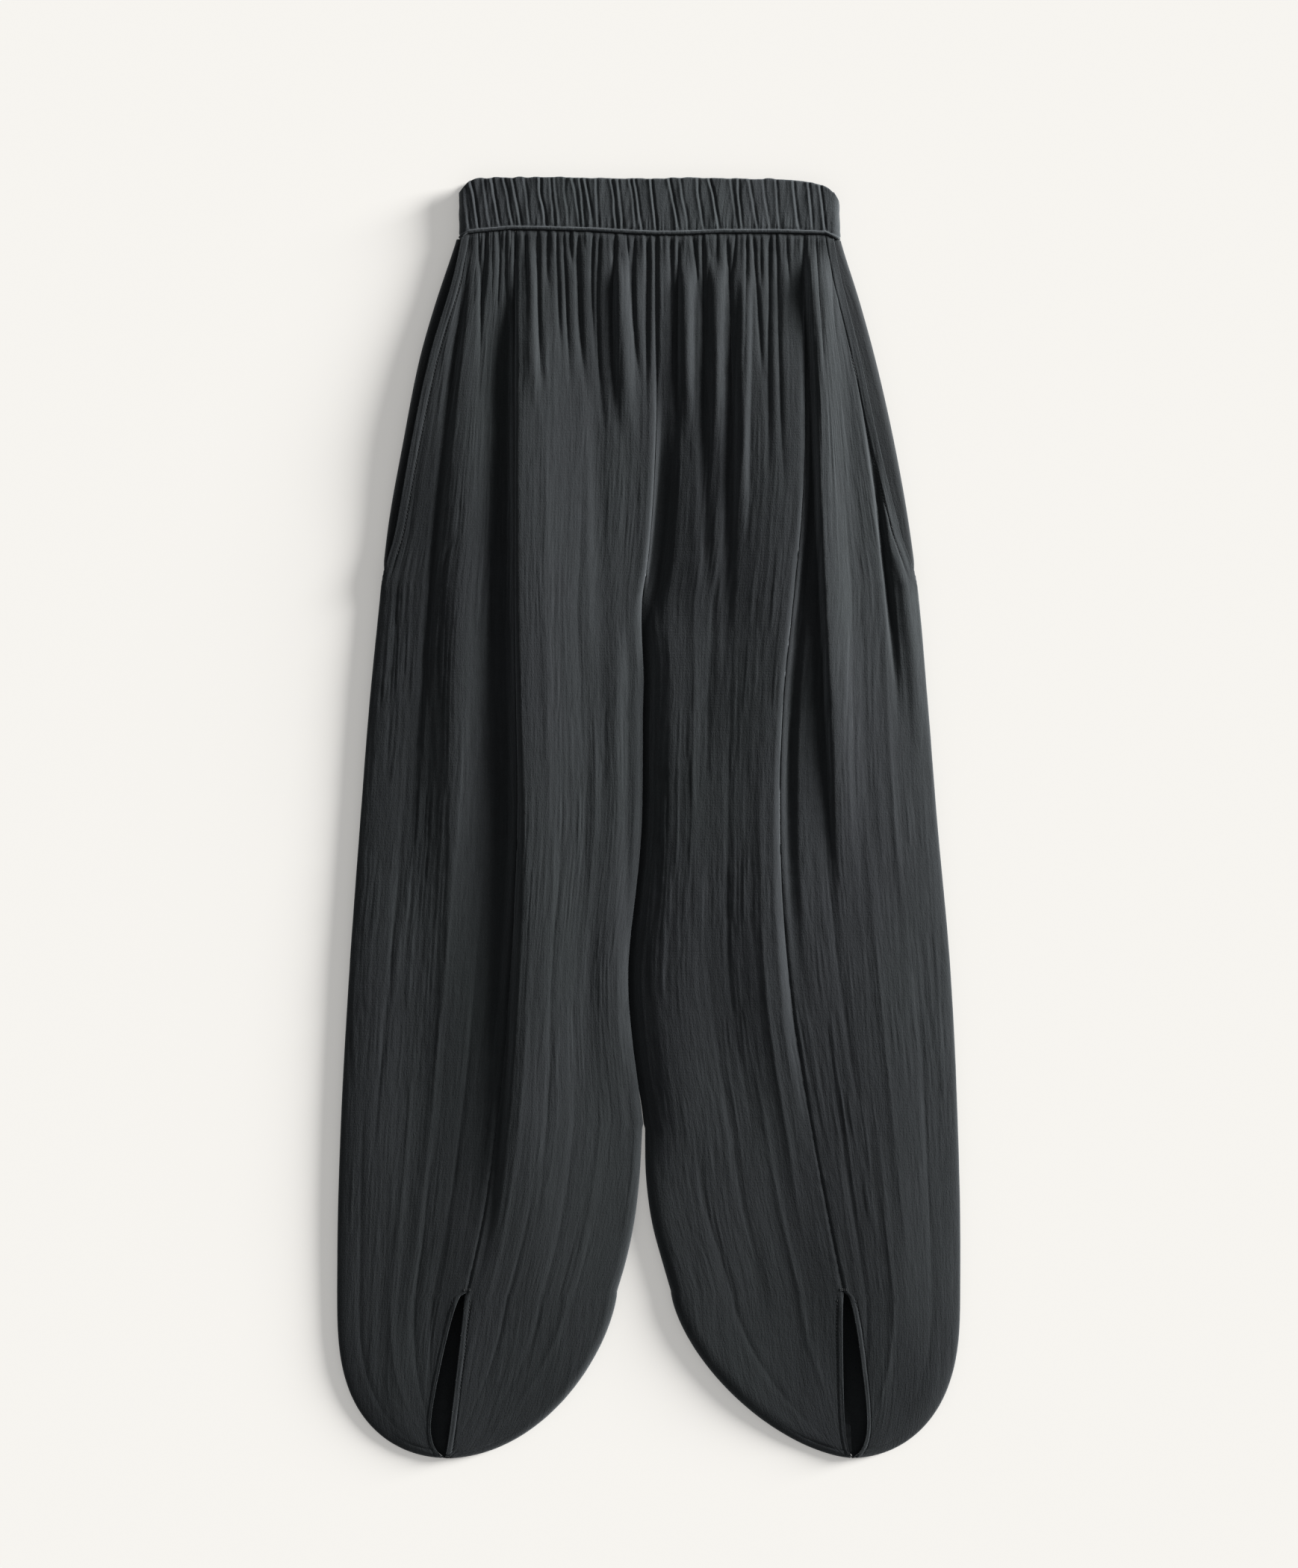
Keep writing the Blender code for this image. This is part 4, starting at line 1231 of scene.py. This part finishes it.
def build_front_panel(name, leg, which, seed, settings):
    """One front panel, whose crinkle is lower at its rims, below the waistband and down the leg."""
    grid, share, length, flow_u, flow_v = panel_form(name, leg, which, settings)
    relief = crinkle(flow_u, flow_v, seed)
    rim = smooth(0.0, 0.06, share) * smooth(1.0, 0.985, share)
    height = settings.crinkle_height / MM
    upper = smooth(300, 420, grid[:, :, 1])
    narrow = smooth(10, 60, length)[:, None] * (1 - 0.5 * smooth(-100, -400, grid[:, :, 1]))
    offset = height * relief * (0.35 + 0.65 * rim) * (1 - 0.2 * upper) * narrow
    material = cloth_material(name + "_gauze", settings.cloth_colour, settings)
    obj, outer = shell(name + "_cloth", grid, offset, material, flow_u, flow_v, relief)
    SURFACES[name] = (outer, share * length[:, None], (1 - share) * length[:, None])
    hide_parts(name)
    return obj


def facing_form(leg):
    """The strip beside the pocket: from under the mouth, out to the side and round it to the back panel.

    It returns the strip's middle surface and each point's way across from the side.
    """
    inward = -outward_of(leg)
    rows = rows_down(3.0)
    grid = []
    across = []
    for y in rows[rows >= FACING_END]:
        nested = smooth(*NESTED_ROWS, y)
        outer = station(y, "outer_" + leg) + inward * NESTED_INSET * nested
        mouth = station(y, "mouth_" + leg) * (1 - nested) + outer * nested
        roll = side_roll(y, leg) - NESTED_ROLL * nested
        inset = roll + 0.5 * WALL
        points = [(inset + TUCK, 0.5 * WALL)]
        for turn in np.linspace(math.pi, 0, 17):
            points.append((inset - roll * math.sin(turn), 0.5 * WALL + roll + roll * math.cos(turn)))
        points = [(s, z + NESTED_RISE * nested) for s, z in points]
        inner = abs(mouth - outer) + FACING_LAP
        level = points[-1][1]
        for s in np.linspace(inset, inner, 26)[1:]:
            sunk = smooth(inner - FACING_LAP + 1, inner - 2, s)
            points.append((s, level + (FACING_SUNK - level) * 0.75 * sunk))
        grid.append([(outer + inward * s, y, z) for s, z in points])
        across.append([s for s, z in points])
    return np.array(grid), np.array(across)


def build_facing(leg, settings):
    """One pocket's facing, with a crinkle that is shallow and dies out towards its rims."""
    grid, across = facing_form(leg)
    followed = follow_band(grid[:, :, 0], grid[:, :, 1])
    grid[:, :, 1] += near_gap(grid[:, :, 1])
    grid[:, :, 1] += followed
    name = "pocket_facing_" + leg
    flow_u = across + FLOW_START[name]
    relief = crinkle(flow_u, grid[:, :, 1], 21)
    rim = smooth(0, 3, across) * smooth(0, 0.2, np.linspace(0, 1, grid.shape[1]))[None, :]
    offset = np.clip(0.35 * relief * rim, -0.3, 0.3)
    # The facing's darker colour is painted shade.
    material = cloth_material(name + "_gauze", settings.facing_shade_colour, settings, 0.7)
    obj = shell(name + "_cloth", grid, offset, material, flow_u, grid[:, :, 1], relief)[0]
    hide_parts(name)
    return obj


def inset_points(leg, which, y_limit):
    """The back panel's outline, up to a height: it keeps a gap to where the leg's rolled edge ends."""
    points = []
    for edge, seam in zip(*rails(leg, which, BACK_ROWS, BACK_FAN_ROWS)):
        if edge[1] > y_limit:
            continue
        if which == "outer" and edge[1] >= POCKET_END:
            edge[0] = station(edge[1], "outer_" + leg)
        across = seam - edge
        length = np.hypot(*across)
        roll = min(roll_of(edge[1], leg, which), ROLL_SHARE * length)
        inwards = roll + 0.5 * WALL + tuck_of(length) + 1.5 * SEAM_GAP
        points.append(tuple(edge + across / length * inwards))
    return points[:-2]


def back_outline(leg):
    """The back panel lies inside the rolled edges, and meets its twin along the centre back."""
    outward = outward_of(leg)
    slit = slit_of(leg)
    outside = inset_points(leg, "outer", BAND_BOTTOM)
    inside = inset_points(leg, "inner", BACK_CROTCH - 2)
    half = outward * 0.5 * BACK_SLIT_SHOWN
    tip_x = slit["tip_x"]
    end_x = tip_x + (slit["top_x"] - tip_x) * BACK_SLIT / (SLIT_TOP - TIP)
    end_y = TIP + BACK_SLIT
    notch = [(tip_x + outward * reach, TIP + rise) for reach, rise in BACK_TIP]
    notch += [(tip_x + half * 1.3, TIP + 0.8), (end_x + half, end_y - 2), (end_x, end_y)]
    notch += [(end_x - half, end_y - 2), (tip_x - half * 1.3, TIP + 0.8)]
    notch.append((tip_x - outward * 0.6, TIP + 3.0))
    shift = BACK_SEAM_SHIFT + outward * 0.5 * SEAM_GAP
    centre = [(touch_line(y) + shift, y) for y in BACK_SEAM_ROWS]
    start_x = centre[-1][0]
    step = (outside[0][0] - start_x) / 10
    centre += [(start_x + step * k, BACK_SEAM_ROWS[-1]) for k in range(1, 10)]
    outline = outside + notch + inside[::-1] + centre
    return [(x, y + follow_band(x, y)) for x, y in outline]


def bag_outline(leg):
    """A pocket bag: along the facing's inner edge, across below, and round at its lower inner corner."""
    outward = outward_of(leg)
    lap = outward * (FACING_LAP + SEAM_GAP)
    side = [(station(y, "mouth_" + leg) - lap, y) for y in BAG_STATIONS]
    low_x = side[-1][0]
    inner_x = low_x + lap - outward * BAG_REACH
    centre_x = inner_x + outward * BAG_CORNER
    centre_y = BAG_LOW + BAG_CORNER
    outline = side + [(low_x, BAG_LOW + BAG_STEP), (low_x - outward * BAG_STEP, BAG_LOW)]
    for turn in np.linspace(0, 0.5 * math.pi, 7):
        x = centre_x - outward * BAG_CORNER * math.sin(turn)
        outline.append((x, centre_y - BAG_CORNER * math.cos(turn)))
    return outline + [(inner_x, BAG_TOP)]


def rim_distance(points, rim):
    """How far each point is from a closed outline."""
    distance = np.full(len(points), 1e9)
    for p, q in zip(rim, np.roll(rim, -1, axis=0)):
        side = q - p
        t = np.clip(((points - p) @ side) / max(side @ side, 1e-9), 0, 1)
        distance = np.minimum(distance, np.hypot(*(points - p - t[:, None] * side).T))
    return distance


def is_inside(points, rim):
    """Which points a closed outline holds, by how often a line from each crosses it."""
    crossings = np.zeros(len(points), int)
    for p, q in zip(rim, np.roll(rim, -1, axis=0)):
        if p[1] != q[1]:
            spans = (points[:, 1] > min(p[1], q[1])) & (points[:, 1] <= max(p[1], q[1]))
            x = p[0] + (points[:, 1] - p[1]) / (q[1] - p[1]) * (q[0] - p[0])
            crossings += spans & (points[:, 0] < x)
    return crossings % 2 == 1


def signed_area(points):
    """Twice the area inside a ring of points, below zero where they run clockwise."""
    following = np.roll(points, -1, axis=0)
    return (points[:, 0] * following[:, 1] - following[:, 0] * points[:, 1]).sum()


def flat_mesh(outline, spacing):
    """Points and triangles that fill an outline evenly, with the number of points on its rim."""
    rim = []
    for start, end in zip(outline, outline[1:] + outline[:1]):
        start = np.array(start, float)
        end = np.array(end, float)
        pieces = max(1, int(round(np.hypot(*(end - start)) / spacing)))
        rim += [start + (end - start) * k / pieces for k in range(pieces)]
    rim = np.array(rim)
    spans = [np.arange(low + spacing / 2, high, spacing) for low, high in zip(rim.min(0), rim.max(0))]
    inside = np.stack(np.meshgrid(*spans), 2).reshape(-1, 2)
    inside[:, 0] += 0.25 * spacing * (np.round(inside[:, 1] / spacing) % 2)
    inside = inside[is_inside(inside, rim) & (rim_distance(inside, rim) > 0.55 * spacing)]
    count = len(rim)
    edges = [(k, (k + 1) % count) for k in range(count)]
    made = delaunay_2d_cdt([Vector(p) for p in np.concatenate([rim, inside])], edges, [], 1, 1e-6)
    return np.array([tuple(p) for p in made[0]]), made[2], count


def build_plate(node, outline, low, wall, spacing, top_relief, under_relief, material):
    """A flat cloth piece of an even wall, with shallow creases on its faces and a closed rim."""
    flat, triangles, rim_count = flat_mesh(outline, spacing)
    count = len(flat)
    settle = smooth(0, 7, rim_distance(flat, flat[:rim_count]))
    waves = crinkle(flat[:, 0] * 0.5, flat[:, 1] * 0.5, 41)
    top = np.column_stack([flat, low + wall + settle * top_relief * (waves - 0.3)])
    under = np.column_stack([flat, low + settle * under_relief * np.clip(0.6 - waves, 0, 1.2)])
    faces = [tuple(face) for face in triangles]
    faces += [tuple(k + count for k in reversed(face)) for face in triangles]
    same_turn = signed_area(flat[:rim_count]) * signed_area(flat[list(triangles[0])]) > 0
    for k in range(rim_count):
        following = (k + 1) % rim_count
        side = (k, k + count, following + count, following)
        faces.append(side if same_turn else side[::-1])
    flow = np.tile(flat, (2, 1)) + (FLOW_START["flat_pieces"], 0)
    points = np.concatenate([top, under])
    obj = make_object(node + "_cloth", points, faces, material, flow, np.tile(waves, 2))
    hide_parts(node)
    return obj


def build_back(leg, settings):
    """One back panel, which lies on the surface."""
    name = "back_" + leg
    material = cloth_material(name + "_gauze", settings.cloth_colour, settings)
    return build_plate(name, back_outline(leg), 0.0, WALL, BACK_SPACING, 0.25, 0.35, material)


def build_bag(leg, settings):
    """One pocket bag, which lies on its back panel."""
    name = "pocket_bag_" + leg
    # The bag takes the facing's darker colour, which is painted shade.
    material = cloth_material(name + "_gauze", settings.facing_shade_colour, settings, 0.5)
    low = WALL + SEAM_GAP
    return build_plate(name, bag_outline(leg), low, BAG_WALL, BAG_SPACING, 0.2, 0.0, material)


def path_on(surface, from_seam, wanted, rows):
    """Points and outward directions on a front panel at one distance from its seam or edge, row by row."""
    grid, edge_distance, seam_distance = SURFACES[surface]
    distance = seam_distance if from_seam else edge_distance
    both = np.concatenate([grid, grid_normals(grid)], 2)
    found = []
    for k in rows:
        order = np.argsort(distance[k])
        if distance[k][order[0]] <= wanted <= distance[k][order[-1]]:
            found.append([np.interp(wanted, distance[k][order], both[k, order, axis]) for axis in range(6)])
    found = np.array(found)
    return found[:, :3], found[:, 3:]


def stitches_along(points, directions, pitch, length):
    """Short rounded threads that lie one after another along a path."""
    steps = lengths_along(points)
    made = []
    for place in np.arange(0.5 * pitch, steps[-1] - 0.5 * length, pitch):
        ends = (place - 0.5 * length, place + 0.5 * length)
        start, end = np.array([[np.interp(s, steps, points[:, axis]) for axis in range(3)] for s in ends])
        up = np.array([np.interp(place, steps, directions[:, axis]) for axis in range(3)])
        up = up / np.linalg.norm(up)
        ahead = (end - start) / np.linalg.norm(end - start)
        sideways = np.cross(up, ahead)
        for k in range(STITCH_RINGS):
            t = (k + 0.5) / STITCH_RINGS
            radius = THREAD_RADIUS * math.sqrt(1 - (2 * t - 1) ** 4)
            raised = THREAD_RISE[0] + THREAD_RISE[1] * math.sin(math.pi * t)
            centre = start + (end - start) * t + up * raised
            for side in range(STITCH_SIDES):
                turn = 2 * math.pi * side / STITCH_SIDES
                made.append(centre + radius * (sideways * math.cos(turn) + up * math.sin(turn)))
    return np.array(made).reshape(-1, 3)


def stitch_faces(count):
    """Faces of closed tubes, one for each stitch."""
    faces = []
    for base in range(0, count, STITCH_RINGS * STITCH_SIDES):
        for low in range(base, base + (STITCH_RINGS - 1) * STITCH_SIDES, STITCH_SIDES):
            for side in range(STITCH_SIDES):
                first = low + side
                second = low + (side + 1) % STITCH_SIDES
                faces.append((first, second, second + STITCH_SIDES, first + STITCH_SIDES))
        last = base + (STITCH_RINGS - 1) * STITCH_SIDES
        faces.append(tuple(range(base + STITCH_SIDES - 1, base - 1, -1)))
        faces.append(tuple(range(last, last + STITCH_SIDES)))
    return faces


def build_stitching(settings):
    """Thread along the slits' hems and the pockets' mouths, and the small bars above the slits."""
    material = thread_material("stitching_thread", settings.thread_colour, settings.roughness)
    rows = rows_down()
    slit_rows = range(len(rows) + 1, len(rows) + FAN_ROWS - 4)
    mouth_rows = [k for k, y in enumerate(rows) if POCKET_END < y < BAND_BOTTOM - 5]
    for leg in LEGS:
        side = "front_side_" + leg
        centre = "front_centre_" + leg
        lines = [
            path_on(side, True, HEM_WIDTH, slit_rows),
            path_on(centre, True, HEM_WIDTH, slit_rows),
            path_on(side, False, MOUTH_HEM, mouth_rows),
        ]
        groups = [stitches_along(points, up, STITCH_PITCH, STITCH_LENGTH) for points, up in lines]
        ends = [SURFACES[panel][0][len(rows) - 1, -5:-1] for panel in (side, centre)]
        across = np.concatenate([ends[0], ends[1][::-1]])
        upright = np.tile((0.0, 0.0, 1.0), (len(across), 1))
        for above in BAR_ROWS:
            bar = across + (0, above, BAR_RISE)
            groups.append(stitches_along(bar, upright, BAR_PITCH, BAR_LENGTH))
        points = np.concatenate(groups)
        faces = stitch_faces(len(points))
        make_object("stitching_" + leg, points, faces, material, points[:, :2], np.zeros(len(points)))


def aim(obj, towards):
    """Turns a lamp so that it shines from a direction."""
    obj.rotation_euler = towards.to_track_quat("Z", "Y").to_euler()


def build_stage(settings):
    """The pale surface, a soft sun, a nearer lamp that lights only the garment, and the camera above."""
    scene = bpy.context.scene
    half = 0.5 * settings.floor_size
    data = bpy.data.meshes.new("surface")
    corners = [(x * half, y * half, SURFACE_LEVEL) for x, y in ((-1, -1), (1, -1), (1, 1), (-1, 1))]
    data.from_pydata(corners, [], [(0, 1, 2, 3)])
    surface = add_object("surface", data)
    material, _, shader = new_material("pale_surface", 1.0, 0.1)
    shader.inputs["Base Color"].default_value = (*settings.floor_colour, 1.0)
    # The surface glows a little, though it is no lamp: painted light that lifts the shadows on it.
    shader.inputs["Emission Color"].default_value = (1.0, 0.98, 0.955, 1.0)
    shader.inputs["Emission Strength"].default_value = settings.floor_glow
    data.materials.append(material)

    sun = bpy.data.lights.new("key", "SUN")
    sun.energy = settings.key_strength
    sun.angle = settings.key_spread
    key = add_object("key", sun)
    towards = Vector((math.cos(settings.key_elevation), 0, math.sin(settings.key_elevation)))
    towards.rotate(Euler((0, 0, settings.key_turn)))
    key.location = towards * KEY_DISTANCE
    aim(key, towards)

    soft = bpy.data.lights.new("near_lamp", "AREA")
    soft.energy = settings.lamp_power
    soft.size = settings.lamp_size
    near_lamp = add_object("near_lamp", soft)
    near_lamp.location = settings.lamp_place
    aim(near_lamp, Vector(settings.lamp_place) - Vector(LAMP_AIM))
    unlit = bpy.data.collections.new("not_lit_by_near_lamp")
    unlit.objects.link(surface)
    unlit.collection_objects[0].light_linking.link_state = "EXCLUDE"
    near_lamp.light_linking.receiver_collection = unlit

    world = bpy.data.worlds.new("studio")
    world.use_nodes = True
    background = world.node_tree.nodes["Background"]
    background.inputs["Color"].default_value = (0.97, 0.985, 1.0, 1.0)
    background.inputs["Strength"].default_value = settings.fill
    scene.world = world

    view = bpy.data.cameras.new("camera")
    view.sensor_width = SENSOR_WIDTH
    view.lens = SENSOR_WIDTH * settings.camera_height / settings.view_height
    view.clip_end = 50
    scene.camera = add_object("camera", view)
    scene.camera.location = (settings.camera_x, settings.camera_y, settings.camera_height)
    scene.view_settings.view_transform = "Standard"
    scene.view_settings.look = "None"


class TROUSERS_OT_waistband(bpy.types.Operator):
    """Add the gathered waistband with its rib"""

    bl_idname = "trousers.waistband"
    bl_label = "Add waistband"

    def execute(self, context):
        obj = build_waistband(context.scene.trousers_cloth)
        return {"FINISHED"}


class TROUSERS_OT_front_panels(bpy.types.Operator):
    """Add the four front panels with their folds, gathers and crinkle"""

    bl_idname = "trousers.front_panels"
    bl_label = "Add front panels"

    def execute(self, context):
        for name, leg, which, seed in PANELS:
            obj = build_front_panel(name, leg, which, seed, context.scene.trousers_cloth)
        return {"FINISHED"}


class TROUSERS_OT_back_panels(bpy.types.Operator):
    """Add the two back panels that lie on the surface"""

    bl_idname = "trousers.back_panels"
    bl_label = "Add back panels"

    def execute(self, context):
        for leg in LEGS:
            obj = build_back(leg, context.scene.trousers_cloth)
        return {"FINISHED"}


class TROUSERS_OT_pockets(bpy.types.Operator):
    """Add the strips beside the pockets and the pocket bags"""

    bl_idname = "trousers.pockets"
    bl_label = "Add pockets"

    def execute(self, context):
        for leg in LEGS:
            obj = build_facing(leg, context.scene.trousers_cloth)
        for leg in LEGS:
            obj = build_bag(leg, context.scene.trousers_cloth)
        return {"FINISHED"}


class TROUSERS_OT_stitching(bpy.types.Operator):
    """Add the thread along the hems, and the bars above the slits"""

    bl_idname = "trousers.stitching"
    bl_label = "Add stitching"

    def execute(self, context):
        if not SURFACES:
            raise RuntimeError("the front panels come before their stitching")
        build_stitching(context.scene.trousers_cloth)
        return {"FINISHED"}


class TROUSERS_OT_stage(bpy.types.Operator):
    """Add the pale surface, the soft light and the camera above"""

    bl_idname = "trousers.stage"
    bl_label = "Add stage"

    def execute(self, context):
        build_stage(context.scene.trousers_stage)
        return {"FINISHED"}


class TROUSERS_PT_panel(bpy.types.Panel):
    """Sizes, colours and buttons for the trousers"""

    bl_idname = "TROUSERS_PT_panel"
    bl_label = "Balloon trousers"
    bl_space_type = "VIEW_3D"
    bl_region_type = "UI"
    bl_category = "Trousers"

    def draw(self, context):
        for settings in (context.scene.trousers_cloth, context.scene.trousers_stage):
            for name in settings.__annotations__:
                self.layout.prop(settings, name)
        for operator in OPERATORS:
            self.layout.operator(operator.bl_idname)


OPERATORS = (
    TROUSERS_OT_waistband,
    TROUSERS_OT_front_panels,
    TROUSERS_OT_back_panels,
    TROUSERS_OT_pockets,
    TROUSERS_OT_stitching,
    TROUSERS_OT_stage,
)


def register():
    """Registers the classes and puts the settings on the scene."""
    for cls in (ClothSettings, StageSettings, *OPERATORS, TROUSERS_PT_panel):
        bpy.utils.register_class(cls)
    bpy.types.Scene.trousers_cloth = bpy.props.PointerProperty(type=ClothSettings)
    bpy.types.Scene.trousers_stage = bpy.props.PointerProperty(type=StageSettings)


def unregister():
    """Takes the settings and the classes away again."""
    del bpy.types.Scene.trousers_cloth
    del bpy.types.Scene.trousers_stage
    for cls in (TROUSERS_PT_panel, *reversed(OPERATORS), StageSettings, ClothSettings):
        bpy.utils.unregister_class(cls)


def main():
    """Builds the stage and every piece."""
    register()
    bpy.ops.trousers.stage()
    bpy.ops.trousers.back_panels()
    bpy.ops.trousers.front_panels()
    bpy.ops.trousers.waistband()
    bpy.ops.trousers.pockets()
    bpy.ops.trousers.stitching()


if __name__ == "__main__":
    main()
